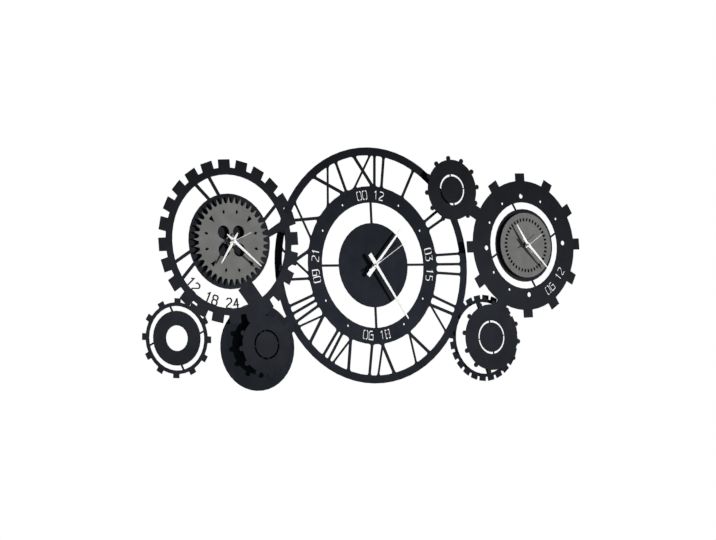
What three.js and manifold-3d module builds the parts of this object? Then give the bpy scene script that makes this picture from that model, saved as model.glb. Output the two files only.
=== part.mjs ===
// World time wall clock: one large Roman dial between two gear shaped dials, cut from
// sheet steel in two layers. All sizes are in millimetres.
// X runs to the viewer's right, Z up, and Y from the viewer to the wall.
// The wall is the plane y = 0 and the origin lies behind the centre of the large dial.

import * as THREE from "three";
import { mergeVertices } from "three/addons/utils/BufferGeometryUtils.js";
import Module from "manifold-3d";

const wasm = await Module();
wasm.setup();

// Sheets and layers
const sheetThickness = 2;
const wallGap = 23;
const layerGap = 12;
const dialGap = 4;
const dialThickness = 2;
const seatGap = 0.3;

// Large dial
const mainOuterRadius = 250;
const mainRingWidth = 17;
const nameRingOuterRadius = 167.5;
const nameRingWidth = 34.8;
const mainDiscRadius = 89.4;
const centrePostInset = 22;
const mainSpokeWidth = 5;
const numeralUprightStroke = 5.7;
const numeralThickStroke = 6.6;
const numeralThinStroke = 4.2;
const numeralFlare = 4.5;
const letterOuterWidth = 42.2;
const letterInnerWidth = 47.8;
const letterFootShift = 1.5;
const hourDotInset = 21.5;
const hourDotRadius = 2.6;

// Left gear dial
const leftDirection = 277.8;
const leftOverlap = 30.2;
const leftRootRadius = 150;
const leftToothHeight = 17;
const leftToothCount = 24;
const leftToothWidth = 27;
const leftToothPhase = -2;
const leftRingWidth = 14.5;
const leftDiscRadius = 97;
const leftSpokeWidth = 6.7;
const leftBroadSpokeWidth = 13;
const leftBroadSpokeFlare = 18;
const strapWidth = 36;
const strapAngle = 157.2;

// Right gear dial
const rightDirection = 84.4;
const rightSpacing = 11.2;
const rightRootRadius = 143;
const rightToothHeight = 17;
const rightToothCount = 12;
const rightToothWidth = 25;
const rightToothPhase = -1;
const rightRingWidth = 47.8;
const rightSlotWidth = 14.7;
const rightSpokeWidth = 4;
const rightSpokePhase = -15;
const rightHoleInset = 34;
const rightHoleShift = 3;
const rightHolePhase = -2.6;
const rightLargeHoleRadius = 5.5;
const rightSmallHoleRadius = 3.1;
const bridgeWidth = 28;

// Small gear hung from the lower left of the left gear
const cornerDirection = 214.8;
const cornerMesh = 12.8;
const cornerToothHeight = 8.2;
const cornerRootRadius = 71.5;
const cornerToothCount = 12;
const cornerToothWidth = 13.5;
const cornerToothPhase = 3.9;
const cornerRingWidth = 7.4;
const cornerSlotWidth = 9.5;
const cornerDiscWidth = 29;
const cornerSpokeWidth = 3.5;
const cornerSpokePhase = -10;

// Knob toothed gears in the front layer
const topGearDirection = 302.1;
const topGearSpacing = 19.5;
const topGearRadius = 65.5;
const topGearKnobPhase = -5.5;
const topGearSlotRadius = 31.5;
const lowGearShift = 9.8;
const lowGearRise = 0.8;
const lowBridgeTurn = 1.5;
const topBridgeTurn = -3.1;
const bridgeLap = 8;
const lowGearRadius = 71.8;
const lowGearKnobPhase = 8.5;
const lowGearSlotRadius = 34.5;
const lowGearStudInset = 7.4;
const lowGearStudAngles = [345.2, 184.8];
const strapGearDirection = 159.6;
const strapGearSpacing = 16;
const strapGearRadius = 59;
const strapGearKnobPhase = -6;
const strapGearSlotRadius = 28.7;
const knobCount = 12;
const knobRadius = 5.4;
const knobSides = 9;
const knobNeckWidth = 8;
const knobReach = 3;
const wideSlotWidth = 4.4;
const narrowSlotWidth = 4;
const slotBridgeWidth = 2.4;
const slotBridgePhase = -6;

// Ring gear and plain disc in the back layer
const backGearDirection = 119.2;
const backGearMesh = 4.5;
const backGearRootRadius = 85;
const backGearToothHeight = 9;
const backGearRingWidth = 7;
const backGearToothCount = 24;
const backGearToothWidth = 16.5;
const backGearToothPhase = 6;
const backTabWidth = 11;
const backDiscDirection = 241.3;
const backDiscSpacing = 3.4;
const backDiscRadius = 89.5;
const backDiscWebWidth = 36;

// Grey dial plates
const greyGearRootRadius = 77.2;
const greyGearToothHeight = 12.8;
const greyGearToothShare = 0.58;
const greyGearToothCount = 38;
const greyGearToothPhase = -2;
const greyHoleRadius = 13.8;
const greyHoleCircle = 25.5;
const greyMarkInset = 16.2;
const greyMarkWidth = 7;
const greyMarkLength = 10.5;
const greyWedgeWidth = 10;
const greyWedgeLength = 15;
const greyDiscRadius = 71.5;
const minuteMarkCount = 40;
const minuteMarkPhase = 5.5;
const minuteMarkWidth = 4.5;
const minuteMarkLength = 7.2;
const minuteMarkInset = 15.2;

// Plain numbers cut through the rings, and those standing in the left ring
const numberHeight = 17.5;
const numberStroke = 2.4;
const numberPitch = 14.5;
const mainNumberInset = 18.5;
const rightNumberInset = 25;
const standingNumberHeight = 20;
const standingNumberStroke = 2.6;
const standingNumberPitch = 17;

// Quartz movement, the same behind each dial
const caseSize = 56;
const caseDepth = 15.5;
const caseWall = 1.6;
const bushRadius = 4;
const bushBoreRadius = 3.1;
const plateHoleClearance = 0.3;
const nutFlatWidth = 13;
const nutThickness = 2.4;
const bushBeyondNut = 0.6;
const washerRadius = 9;
const washerThickness = 1;
const batteryRadius = 7.1;
const batteryLength = 50;
const batteryCapRadius = 2.7;
const batteryCapLength = 1.4;
const batteryCapLap = 0.5;
const lidThickness = 1.5;
const wheelThickness = 1.2;
const wheelGap = 0.6;
const wheelToothHeight = 0.6;
const wheelCentreDistance = 12;
const motionWheelDirection = 308;
const cannonTeeth = 6;
const motionWheelTeeth = 18;
const motionPinionTeeth = 6;
const hourWheelTeeth = 24;
const otherWheelTeeth = 14;
const centreWheelRadius = 9;
const secondWheelRadius = 8;
const hourTubeRadius = 2.8;
const hourTubeBore = 2;
const minuteTubeRadius = 1.7;
const minuteTubeBore = 0.9;
const secondArborRadius = 0.6;
const knobStemRadius = 1;
const settingKnobRadius = 5.5;
const settingKnobHeight = 2.6;
const settingKnobTeeth = 10;
const coilRadius = 3.6;
const coilFlangeRadius = 4.3;
const coilLength = 18;
const coilFlangeThickness = 1;
const coilEndGap = 2;

// Hands
const handThickness = 0.8;
const handGap = 1.2;
const hubMargin = 1.6;
const handLift = 7;
const mainHourLength = 104;
const mainHourTail = 31;
const mainHourWidth = 6.6;
const mainHourTipWidth = 3.8;
const mainMinuteLength = 139;
const mainMinuteTail = 28;
const mainMinuteWidth = 7;
const mainMinuteTipWidth = 3.4;
const mainTailWidth = 9.5;
const mainSecondLength = 92;
const mainSecondTail = 24;
const mainSecondWidth = 1.2;
const mainSecondTailWidth = 3.6;
const leftHourLength = 54.6;
const leftMinuteLength = 81.7;
const rightHourLength = 53.6;
const rightMinuteLength = 73.5;
const sideSecondLength = 45;
const sideHourTail = 19.4;
const sideMinuteTail = 20.5;
const sideSecondTail = 12;
const sideHourWidth = 6.6;
const sideMinuteWidth = 6.4;
const sideTipWidth = 2.4;
const sideSecondWidth = 1;
const sideSecondTailWidth = 2.4;
const handHubRadius = 4.8;
const secondHubRadius = 2.8;

// Spacers, studs and what holds the clock off the wall
const studRadius = 2.4;
const studHoleRadius = 2.8;
const spacerRadius = 4.5;
const hexNutFlatWidth = 8;
const hexNutThickness = 4;
const studBeyondNut = 1.5;
const weldDepth = 1;
const footRadius = 7;
const footThickness = 3;
const footCollar = 6;
const hangerWidth = 14;
const hangerHeight = 18;
const hangerThickness = 1.5;
const hangerLevel = 105;
const leftHangerShift = -98.5;
const rightHangerShift = 115.5;
const keyholeRadius = 4;
const keyholeSlotWidth = 4.4;
const keyholeDrop = 3.5;
const keyholeRise = 8.5;
const dialSpacerRadius = 7;

// Arcs are cut into chords that leave the true circle by at most this much
const chordError = 0.3;
const leastSides = 8;
const flareChords = 3;
const spokeLean = 15;
const overlapIntoRing = 5;

// Cuts start and end this far outside what they cut
const cutMargin = 1;

// The planes of the layers, from the wall to the viewer
const mainBack = -wallGap;
const mainFront = mainBack - sheetThickness;
const frontBack = mainFront - layerGap;
const frontFront = frontBack - sheetThickness;
const greyBack = frontFront - dialGap;
const greyFront = greyBack - dialThickness;

// Finishes
const paint = (colour, roughness, metalness) =>
  new THREE.MeshStandardMaterial({ color: colour, roughness, metalness });
const blackPaint = paint(0x22242a, 0.6, 0.1);
const greyPaint = paint(0x77776f, 0.55, 0.1);
const whitePaint = paint(0xf2f2f0, 0.45, 0);
const blackPlastic = paint(0x17181a, 0.5, 0);
const palePlastic = paint(0xe3e1da, 0.5, 0);
const blackRubber = paint(0x141414, 0.9, 0);
const blackSteel = paint(0x2b2c2f, 0.45, 0.8);
const zincSteel = paint(0xa9adb2, 0.35, 1);
const copper = paint(0xb4642e, 0.4, 1);
const cellSleeve = paint(0x3d5a48, 0.4, 0.2);

// Angles run clockwise from twelve o'clock, as the viewer sees them
const rad = (degrees) => (degrees * Math.PI) / 180;
const polar = (centre, radius, angle) => [
  centre[0] + radius * Math.sin(rad(angle)),
  centre[1] + radius * Math.cos(rad(angle)),
];
const sideCount = (radius) =>
  Math.max(leastSides, Math.ceil(Math.PI / Math.acos(1 - chordError / radius)));
const angleOf = (length, radius) => ((length / radius) * 180) / Math.PI;
const steps = (count) => Array.from({ length: count }, (_, index) => index);
const circle = (centre, radius, sides = sideCount(radius)) =>
  steps(sides).map((k) => polar(centre, radius, (k * 360) / sides));
const between = (a, b) => Math.hypot(b[0] - a[0], b[1] - a[1]);

// What is left inside each ring
const nameRingInnerRadius = nameRingOuterRadius - nameRingWidth;
const leftRingInnerRadius = leftRootRadius - leftRingWidth;
const rightSlotOuterRadius = rightRootRadius - rightRingWidth;
const rightDiscRadius = rightSlotOuterRadius - rightSlotWidth;
const cornerRingInnerRadius = cornerRootRadius - cornerRingWidth;
const cornerDiscRadius = cornerRingInnerRadius - cornerSlotWidth;
const cornerHoleRadius = cornerDiscRadius - cornerDiscWidth;
const backGearInnerRadius = backGearRootRadius - backGearRingWidth;

// Circles on which marks, holes and numbers stand
const mainNumberCircle = nameRingOuterRadius - mainNumberInset;
const hourDotCircle = nameRingOuterRadius - hourDotInset;
const rightNumberCircle = rightRootRadius - rightNumberInset;
const rightHoleCircle = rightRootRadius - rightHoleInset;
const greyMarkCircle = greyGearRootRadius - greyMarkInset;
const minuteMarkCircle = greyDiscRadius - minuteMarkInset;

// Centres of the dials and gears
const mainCentre = [0, 0];
const leftCentre = polar(mainCentre, mainOuterRadius + leftRootRadius - leftOverlap, leftDirection);
const rightCentre = polar(
  mainCentre, mainOuterRadius + rightRootRadius + rightSpacing, rightDirection);
const cornerCentre = polar(
  leftCentre, leftRootRadius + cornerRootRadius + cornerMesh, cornerDirection);
const strapGearCentre = polar(
  leftCentre, leftRootRadius + strapGearRadius + strapGearSpacing, strapGearDirection);
const topGearCentre = polar(
  rightCentre, rightRootRadius + topGearRadius + topGearSpacing, topGearDirection);
const backGearCentre = polar(
  mainCentre, mainOuterRadius + backGearRootRadius - backGearMesh, backGearDirection);
const lowGearCentre = [backGearCentre[0] + lowGearShift, backGearCentre[1] + lowGearRise];
const backDiscCentre = polar(
  mainCentre, mainOuterRadius + backDiscRadius + backDiscSpacing, backDiscDirection);

// Every outline is handed on in the same sense, so that all faces of a slab look outwards
function orderedPoints(outline) {
  const points = outline.map(([x, z]) => new THREE.Vector2(x, z));
  return THREE.ShapeUtils.isClockWise(points) ? points.reverse() : points;
}

// An outline drawn in X and Z becomes a slab that reaches from back towards the viewer
function slab(outline, back, thickness, holes = []) {
  const shape = new THREE.Shape(orderedPoints(outline));
  for (const hole of holes) shape.holes.push(new THREE.Path(orderedPoints(hole)));
  const geometry = new THREE.ExtrudeGeometry(shape, { depth: thickness, bevelEnabled: false });
  geometry.rotateX(Math.PI / 2);
  geometry.translate(0, back, 0);
  return geometry;
}

function toSolid(geometry) {
  const bare = geometry.clone();
  bare.deleteAttribute("normal");
  bare.deleteAttribute("uv");
  const merged = mergeVertices(bare, 1e-4);
  return new wasm.Manifold(new wasm.Mesh({
    numProp: 3,
    vertProperties: new Float32Array(merged.attributes.position.array),
    triVerts: new Uint32Array(merged.index.array),
  }));
}

function toGeometry(solid) {
  const mesh = solid.getMesh();
  const geometry = new THREE.BufferGeometry();
  geometry.setAttribute("position", new THREE.BufferAttribute(mesh.vertProperties, 3));
  geometry.setIndex(new THREE.BufferAttribute(mesh.triVerts, 1));
  const flat = geometry.toNonIndexed();
  flat.computeVertexNormals();
  return flat;
}

// Pieces are joined first and then cut
function build(pieces, cuts = []) {
  let solid = toSolid(pieces[0]);
  for (const piece of pieces.slice(1)) solid = solid.add(toSolid(piece));
  for (const cut of cuts) solid = solid.subtract(toSolid(cut));
  return toGeometry(solid);
}

// A line of given width along a row of points, with mitred corners
function strokeOutline(points, width, endWidth = width) {
  const last = points.length - 1;
  const heading = (a, b) => {
    const length = between(a, b);
    return [(b[0] - a[0]) / length, (b[1] - a[1]) / length];
  };
  const side = (index, sign) => {
    const before = heading(points[Math.max(index - 1, 0)], points[Math.max(index, 1)]);
    const after = heading(points[Math.min(index, last - 1)], points[Math.min(index + 1, last)]);
    const sum = [before[0] + after[0], before[1] + after[1]];
    const scale = (sum[0] * after[0] + sum[1] * after[1]);
    const half = (width + ((endWidth - width) * index) / last) / 2;
    return [
      points[index][0] - (sign * half * sum[1]) / scale,
      points[index][1] + (sign * half * sum[0]) / scale,
    ];
  };
  const indices = steps(points.length);
  return [...indices.map((k) => side(k, 1)), ...indices.reverse().map((k) => side(k, -1))];
}

// A spoke that leans away from the radius, as all spokes of these gears do
function spokeOutline(centre, inner, outer, angle, lean, width, outerWidth = width) {
  const middle = (inner + outer) / 2;
  const start = polar(centre, middle, angle);
  const reach = (outer - inner) / 2 / Math.cos(rad(lean));
  const tip = polar(start, reach, angle - lean);
  const foot = polar(start, -reach, angle - lean);
  return strokeOutline([foot, tip], width, outerWidth);
}

function arcBand(centre, inner, outer, from, to) {
  const count = Math.max(2, Math.ceil(((to - from) / 360) * sideCount(outer)));
  const angles = steps(count + 1).map((k) => from + ((to - from) * k) / count);
  const far = angles.map((angle) => polar(centre, outer, angle));
  const near = angles.reverse().map((angle) => polar(centre, inner, angle));
  return [...far, ...near];
}

// The outline of a gear with straight sided teeth
function toothedOutline(centre, root, height, count, width, phase) {
  const halfRoot = (Math.asin(width / 2 / root) * 180) / Math.PI;
  const halfTip = (Math.asin(width / 2 / (root + height)) * 180) / Math.PI;
  const pitch = 360 / count;
  const valleyAngle = pitch - 2 * halfRoot;
  const chords = Math.ceil((valleyAngle / 360) * sideCount(root));
  return steps(count).flatMap((k) => {
    const middle = phase + k * pitch;
    const valley = steps(chords - 1).map((j) =>
      polar(centre, root, middle + halfRoot + (valleyAngle * (j + 1)) / chords));
    return [
      polar(centre, root, middle - halfRoot),
      polar(centre, root + height, middle - halfTip),
      polar(centre, root + height, middle + halfTip),
      polar(centre, root, middle + halfRoot),
      ...valley,
    ];
  });
}

// Round knobs on short necks around a plain disc
function knobGearPieces(centre, radius, phase, back) {
  const knobs = steps(knobCount).flatMap((k) => {
    const angle = phase + (k * 360) / knobCount;
    const knob = polar(centre, radius + knobReach, angle);
    const neck = [polar(centre, radius - overlapIntoRing, angle), knob];
    return [
      slab(circle(knob, knobRadius, knobSides), back, sheetThickness),
      slab(strokeOutline(neck, knobNeckWidth), back, sheetThickness),
    ];
  });
  return [slab(circle(centre, radius), back, sheetThickness), ...knobs];
}

// A slot in a circle that four small bridges break
function ringSlot(centre, radius, width) {
  const halfGap = angleOf(slotBridgeWidth / 2, radius);
  return steps(4).map((k) => {
    const from = slotBridgePhase + k * 90 + halfGap;
    const to = slotBridgePhase + (k + 1) * 90 - halfGap;
    return arcBand(centre, radius - width / 2, radius + width / 2, from, to);
  });
}

// Digits drawn as lines in tenths of their height. Cut digits are stencils: none of their
// lines closes a loop, so that nothing falls out of the sheet.
const digitWidth = 6.2;
const cutDigits = {
  0: [
    [[2.4, 10], [0.8, 10], [0, 9], [0, 1], [0.8, 0], [2.4, 0]],
    [[3.8, 0], [5.4, 0], [6.2, 1], [6.2, 9], [5.4, 10], [3.8, 10]],
  ],
  1: [[[1.2, 8], [3.4, 10], [3.4, 0]]],
  2: [[[0.2, 10], [4.9, 10], [6.2, 8.6], [6.2, 6.4], [0.4, 1.8], [0.4, 0], [6.2, 0]]],
  3: [[[0.2, 10], [5.8, 10], [3, 6], [4.9, 6], [6.2, 4.6], [6.2, 1.4], [4.9, 0], [0.2, 0]]],
  5: [[[5.8, 10], [0.5, 10], [0.5, 5.8], [4.8, 5.8], [6.2, 4.4], [6.2, 1.4], [4.8, 0], [0.2, 0]]],
  6: [[[5.4, 10], [1.6, 10], [0, 8], [0, 0], [6.2, 0], [6.2, 5.8], [2.2, 5.8]]],
  8: [
    [[2.4, 0], [0, 0], [0, 4.2], [0.8, 5.2], [0, 6.2], [0, 10], [2.4, 10]],
    [[3.8, 10], [6.2, 10], [6.2, 6.2], [5.4, 5.2], [6.2, 4.2], [6.2, 0], [3.8, 0]],
    [[2.6, 5.2], [3.6, 5.2]],
  ],
  9: [[[0.8, 0], [4.6, 0], [6.2, 2], [6.2, 10], [0, 10], [0, 4.2], [4, 4.2]]],
};
const standingDigits = {
  1: [[[1.2, 8], [3.4, 10], [3.4, 0]]],
  2: [[[0.2, 8.4], [1.5, 10], [4.7, 10], [6, 8.6], [6, 6.6], [0.4, 1.8], [0.4, 0], [6.2, 0]]],
  4: [[[4.6, 0], [4.6, 10]], [[4.6, 9.4], [0.3, 3.2], [6.2, 3.2]]],
  8: [
    [[3.1, 10], [1.3, 10], [0.3, 8.8], [0.3, 6.8], [1.4, 5.4], [5, 5.4], [6, 4], [6, 1.3], [4.8, 0],
      [3, 0]],
    [[3.2, 0], [1.3, 0], [0.2, 1.3], [0.2, 4], [1.3, 5.4]],
    [[3, 10], [4.9, 10], [5.9, 8.8], [5.9, 6.8], [4.8, 5.4]],
  ],
};

// Digits stand on a circle. Upright ones have their feet towards the centre; the others,
// in the lower half of a dial, have their feet away from it.
function numberOutlines(text, digits, centre, feet, angle, height, stroke, pitch, upright) {
  const unit = height / 10;
  const sign = upright ? 1 : -1;
  const pitchAngle = angleOf(pitch, feet + (sign * height) / 2);
  const first = angle - (sign * pitchAngle * (text.length - 1)) / 2;
  return [...text].flatMap((character, index) => {
    if (character === " ") return [];
    const own = first + sign * pitchAngle * index;
    const out = [Math.sin(rad(own)), Math.cos(rad(own))];
    const place = ([x, y]) => {
      const along = sign * (x - digitWidth / 2) * unit;
      const radius = feet + sign * y * unit;
      return [
        centre[0] + radius * out[0] + along * out[1],
        centre[1] + radius * out[1] - along * out[0],
      ];
    };
    return digits[character].map((line) => strokeOutline(line.map(place), stroke));
  });
}

function cutNumbers(text, centre, middleRadius, angle, upright) {
  const feet = middleRadius + (upright ? -1 : 1) * (numberHeight / 2);
  return numberOutlines(text, cutDigits, centre, feet, angle, numberHeight, numberStroke,
    numberPitch, upright);
}

const throughCut = (outline, back) =>
  slab(outline, back + cutMargin, sheetThickness + 2 * cutMargin);

// Where two circles cross: the crossing on the side that sign names
function crossing(a, radiusA, b, radiusB, sign) {
  const distance = between(a, b);
  const along = (radiusA ** 2 - radiusB ** 2 + distance ** 2) / (2 * distance);
  const across = Math.sqrt(Math.max(radiusA ** 2 - along ** 2, 0));
  const unit = [(b[0] - a[0]) / distance, (b[1] - a[1]) / distance];
  return [
    a[0] + along * unit[0] - sign * across * unit[1],
    a[1] + along * unit[1] + sign * across * unit[0],
  ];
}

// The studs that join each front sheet to the back sheet, where the two overlap
const mainRingMiddle = mainOuterRadius - mainRingWidth / 2;
const leftRingMiddle = (leftRingInnerRadius + leftRootRadius) / 2;
const topGearMiddle = (topGearSlotRadius + wideSlotWidth / 2 + topGearRadius) / 2;
const leftStuds = [
  crossing(leftCentre, leftRingMiddle, mainCentre, mainRingMiddle, 1),
  crossing(leftCentre, leftRingMiddle, mainCentre, mainRingMiddle, -1),
  polar(strapGearCentre, (strapGearSlotRadius + strapGearRadius) / 2, 270),
];
const rightStuds = [
  crossing(topGearCentre, topGearMiddle, mainCentre, mainRingMiddle, 1),
  ...lowGearStudAngles.map((angle) =>
    polar(lowGearCentre, lowGearRadius - lowGearStudInset, angle)),
];

// A short upright cylinder or cone along Y, from one depth to another
function rod(centre, radius, from, to, sides = sideCount(radius)) {
  return slab(circle(centre, radius, sides), Math.max(from, to), Math.abs(to - from));
}

function studPieces(centre) {
  const shoulderEnd = mainFront - seatGap;
  const threadEnd = mainBack + seatGap + hexNutThickness + studBeyondNut;
  return [
    rod(centre, spacerRadius, frontBack - weldDepth, shoulderEnd),
    rod(centre, studRadius, shoulderEnd - weldDepth, threadEnd),
  ];
}

// The posts that keep the sheets off the wall end in rubber feet
const wallPosts = {
  centre: { at: polar(mainCentre, mainDiscRadius - centrePostInset, 172), back: mainBack },
  left: { at: polar(cornerCentre, (cornerHoleRadius + cornerDiscRadius) / 2, 168), back: frontBack },
  right: { at: polar(rightCentre, (rightHoleCircle + rightRootRadius) / 2, 16), back: frontBack },
};

function postPiece({ at, back }) {
  return rod(at, spacerRadius, back - weldDepth, -footThickness - seatGap);
}

function footGeometry({ at }) {
  const cup = rod(at, footRadius, -footThickness - footCollar, 0);
  const socket = rod(
    at, spacerRadius + seatGap, -footThickness - footCollar - cutMargin, -footThickness);
  return build([cup], [socket]);
}

// Roman numerals: every letter of a numeral has its own angle from the hour, at the outer
// ring and at the inner one
const numerals = [
  { hour: 12, letters: [["X", -4.2, -5.8], ["I", 3.9, 4.1], ["I", 9.8, 10.4]] },
  { hour: 1, letters: [["I", 0, 0]] },
  { hour: 2, letters: [["I", -3.2, -3.3], ["I", 2.6, 3.1]] },
  { hour: 3, letters: [["I", -5.7, -6.9], ["I", -0.1, -0.1], ["I", 5.4, 6.1]] },
  { hour: 4, letters: [["I", -6.7, -6.2], ["V", 2.8, 0.5]] },
  { hour: 5, letters: [["V", -0.8, -0.5]] },
  { hour: 6, letters: [["V", -5, -4.8], ["I", 5.8, 4.4]] },
  { hour: 7, letters: [["V", -5.5, -6.5], ["I", 2.8, 2], ["I", 6.7, 6.2]] },
  { hour: 8, letters: [["V", -7.7, -7.6], ["I", 0.4, 0.3], ["I", 4.9, 4.6], ["I", 9.2, 8.8]] },
  { hour: 9, letters: [["I", -7, -9.1], ["X", 3.3, 2.4]] },
  { hour: 10, letters: [["X", -1.2, -1.8]] },
  { hour: 11, letters: [["X", -2.4, -3.1], ["I", 8.5, 8.2]] },
];
const mainRingInner = mainOuterRadius - mainRingWidth;

// A line between the two rings, given by the angles at which it meets them. It spreads in a
// hollow curve at both ends, so that no window of the numerals has a sharp corner.
function ringLine(outerAngle, innerAngle, width) {
  const outerEnd = polar(mainCentre, mainRingInner, outerAngle);
  const innerEnd = polar(mainCentre, nameRingOuterRadius, innerAngle);
  const length = between(innerEnd, outerEnd);
  const pointsOfEnd = (end, other, sign) => {
    const radius = Math.hypot(...end);
    const along = [(other[0] - end[0]) / length, (other[1] - end[1]) / length];
    const inwards = Math.abs(along[0] * end[0] + along[1] * end[1]) / radius;
    const place = (depth, spread) => {
      const reach = depth / inwards;
      const spot = [end[0] + along[0] * reach, end[1] + along[1] * reach];
      const around = Math.hypot(...spot);
      const turn = angleOf(width / 2 / inwards + spread, around);
      const angle = (Math.atan2(...spot) * 180) / Math.PI;
      return polar(mainCentre, around, angle + sign * turn);
    };
    const curve = steps(flareChords + 1).map((k) => {
      const turn = rad(90 - (90 * k) / flareChords);
      return place(numeralFlare * (1 - Math.sin(turn)), numeralFlare * (1 - Math.cos(turn)));
    });
    return [place(-overlapIntoRing, numeralFlare), ...curve];
  };
  const side = (sign) => [
    ...pointsOfEnd(outerEnd, innerEnd, sign),
    ...pointsOfEnd(innerEnd, outerEnd, sign).reverse(),
  ];
  return [...side(1), ...side(-1).reverse()];
}

function letterLines([letter, outer, inner], hourAngle) {
  const outerHalf = angleOf(letterOuterWidth / 2, mainRingInner);
  const reach = letter === "X" ? letterInnerWidth / 2 : letterFootShift / 2;
  const innerHalf = angleOf(reach, nameRingOuterRadius);
  const line = (outerTurn, innerTurn, width) =>
    ringLine(hourAngle + outer + outerTurn, hourAngle + inner + innerTurn, width);
  if (letter === "I") return [line(0, 0, numeralUprightStroke)];
  return [
    line(-outerHalf, innerHalf, numeralThickStroke),
    line(outerHalf, -innerHalf, numeralThinStroke),
  ];
}

const numeralOutlines = ({ hour, letters }) =>
  letters.flatMap((letter) => letterLines(letter, hour * 30));

// Twelve, three, six and nine carry numbers; the other hours have a dot
const mainNumbers = [
  { text: "00 12", angle: 0, upright: true },
  { text: "03 15", angle: 90, upright: true },
  { text: "06 18", angle: 180, upright: false },
  { text: "09 21", angle: 270, upright: true },
];
const isQuarter = (hour) => hour % 3 === 0;
const hourSteps = steps(12);

// A tab runs out from a round pad under a stud of the low gear to the ring gear behind it
function backTab(stud) {
  const heading = [stud[0] - backGearCentre[0], stud[1] - backGearCentre[1]];
  const angle = (Math.atan2(...heading) * 180) / Math.PI - spokeLean;
  const reach = backGearInnerRadius + overlapIntoRing - Math.hypot(...heading);
  const end = polar(stud, reach / Math.cos(rad(spokeLean)), angle);
  return [circle(stud, backTabWidth / 2), strokeOutline([stud, end], backTabWidth)];
}

function mainPlate() {
  const sheet = (outline, holes) => slab(outline, mainBack, sheetThickness, holes);
  const spokes = steps(4).map((k) => sheet(spokeOutline(
    mainCentre, mainDiscRadius - overlapIntoRing, nameRingInnerRadius + overlapIntoRing,
    k * 90, 0, mainSpokeWidth)));
  const web = strokeOutline([
    polar(mainCentre, mainOuterRadius - overlapIntoRing, backDiscDirection),
    polar(mainCentre, mainOuterRadius + backDiscSpacing + overlapIntoRing, backDiscDirection),
  ], backDiscWebWidth);
  const pieces = [
    sheet(circle(mainCentre, mainOuterRadius), [circle(mainCentre, mainRingInner)]),
    sheet(circle(mainCentre, nameRingOuterRadius), [circle(mainCentre, nameRingInnerRadius)]),
    sheet(circle(mainCentre, mainDiscRadius)),
    ...spokes,
    ...numerals.flatMap(numeralOutlines).map((outline) => sheet(outline)),
    sheet(web),
    sheet(circle(backDiscCentre, backDiscRadius)),
    sheet(toothedOutline(backGearCentre, backGearRootRadius, backGearToothHeight,
      backGearToothCount, backGearToothWidth, backGearToothPhase),
    [circle(backGearCentre, backGearInnerRadius)]),
    ...rightStuds.slice(1).flatMap(backTab).map((outline) => sheet(outline)),
    postPiece(wallPosts.centre),
  ];
  const cuts = [
    ...mainNumbers.flatMap(({ text, angle, upright }) =>
      cutNumbers(text, mainCentre, mainNumberCircle, angle, upright)),
    ...hourSteps.filter((hour) => !isQuarter(hour)).map((hour) =>
      circle(polar(mainCentre, hourDotCircle, hour * 30), hourDotRadius)),
    ...[...leftStuds, ...rightStuds].map((centre) => circle(centre, studHoleRadius)),
    circle(mainCentre, bushRadius + plateHoleClearance),
  ];
  return build(pieces, cuts.map((outline) => throughCut(outline, mainBack)));
}

// Pairs of thin leaning spokes, one broad one, and the strap that runs on to the lower gear
const leftSpokeAngles = [59.8, 239.6, 254.8, 329, 344];
const broadSpokeAngle = 77.8;
const standingNumberAngle = 203;

function leftPlate() {
  const sheet = (outline, holes) => slab(outline, frontBack, sheetThickness, holes);
  const inner = leftDiscRadius - overlapIntoRing;
  const outer = leftRingInnerRadius + overlapIntoRing;
  const spokes = leftSpokeAngles.map((angle) =>
    spokeOutline(leftCentre, inner, outer, angle, spokeLean, leftSpokeWidth));
  const broad = spokeOutline(leftCentre, inner, outer, broadSpokeAngle, spokeLean,
    leftBroadSpokeWidth, leftBroadSpokeFlare);
  const strapMiddle = (leftDiscRadius + leftRingInnerRadius) / 2;
  const strapReach = leftRootRadius + strapGearSpacing + overlapIntoRing - strapMiddle;
  const strapStart = polar(leftCentre, strapMiddle, strapAngle);
  const strap = strokeOutline([
    polar(strapStart, inner - strapMiddle, strapAngle - spokeLean),
    polar(strapStart, strapReach, strapAngle - spokeLean),
  ], strapWidth);
  const cornerSpokes = steps(4).map((k) => spokeOutline(
    cornerCentre, cornerDiscRadius - overlapIntoRing, cornerRingInnerRadius + overlapIntoRing,
    cornerSpokePhase + k * 90, spokeLean, cornerSpokeWidth));
  const standing = numberOutlines("12 18 24", standingDigits, leftCentre,
    leftRingInnerRadius, standingNumberAngle, standingNumberHeight, standingNumberStroke,
    standingNumberPitch, false);
  const pieces = [
    sheet(toothedOutline(leftCentre, leftRootRadius, leftToothHeight, leftToothCount,
      leftToothWidth, leftToothPhase), [circle(leftCentre, leftRingInnerRadius)]),
    sheet(circle(leftCentre, leftDiscRadius)),
    ...[...spokes, broad, strap, ...standing, ...cornerSpokes].map((outline) => sheet(outline)),
    sheet(toothedOutline(cornerCentre, cornerRootRadius, cornerToothHeight, cornerToothCount,
      cornerToothWidth, cornerToothPhase), [circle(cornerCentre, cornerRingInnerRadius)]),
    sheet(circle(cornerCentre, cornerDiscRadius), [circle(cornerCentre, cornerHoleRadius)]),
    ...knobGearPieces(strapGearCentre, strapGearRadius, strapGearKnobPhase, frontBack),
    ...leftStuds.flatMap(studPieces),
    postPiece(wallPosts.left),
  ];
  return build(pieces, [
    ...ringSlot(strapGearCentre, strapGearSlotRadius, narrowSlotWidth),
    circle(leftCentre, bushRadius + plateHoleClearance),
  ].map((outline) => throughCut(outline, frontBack)));
}

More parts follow.
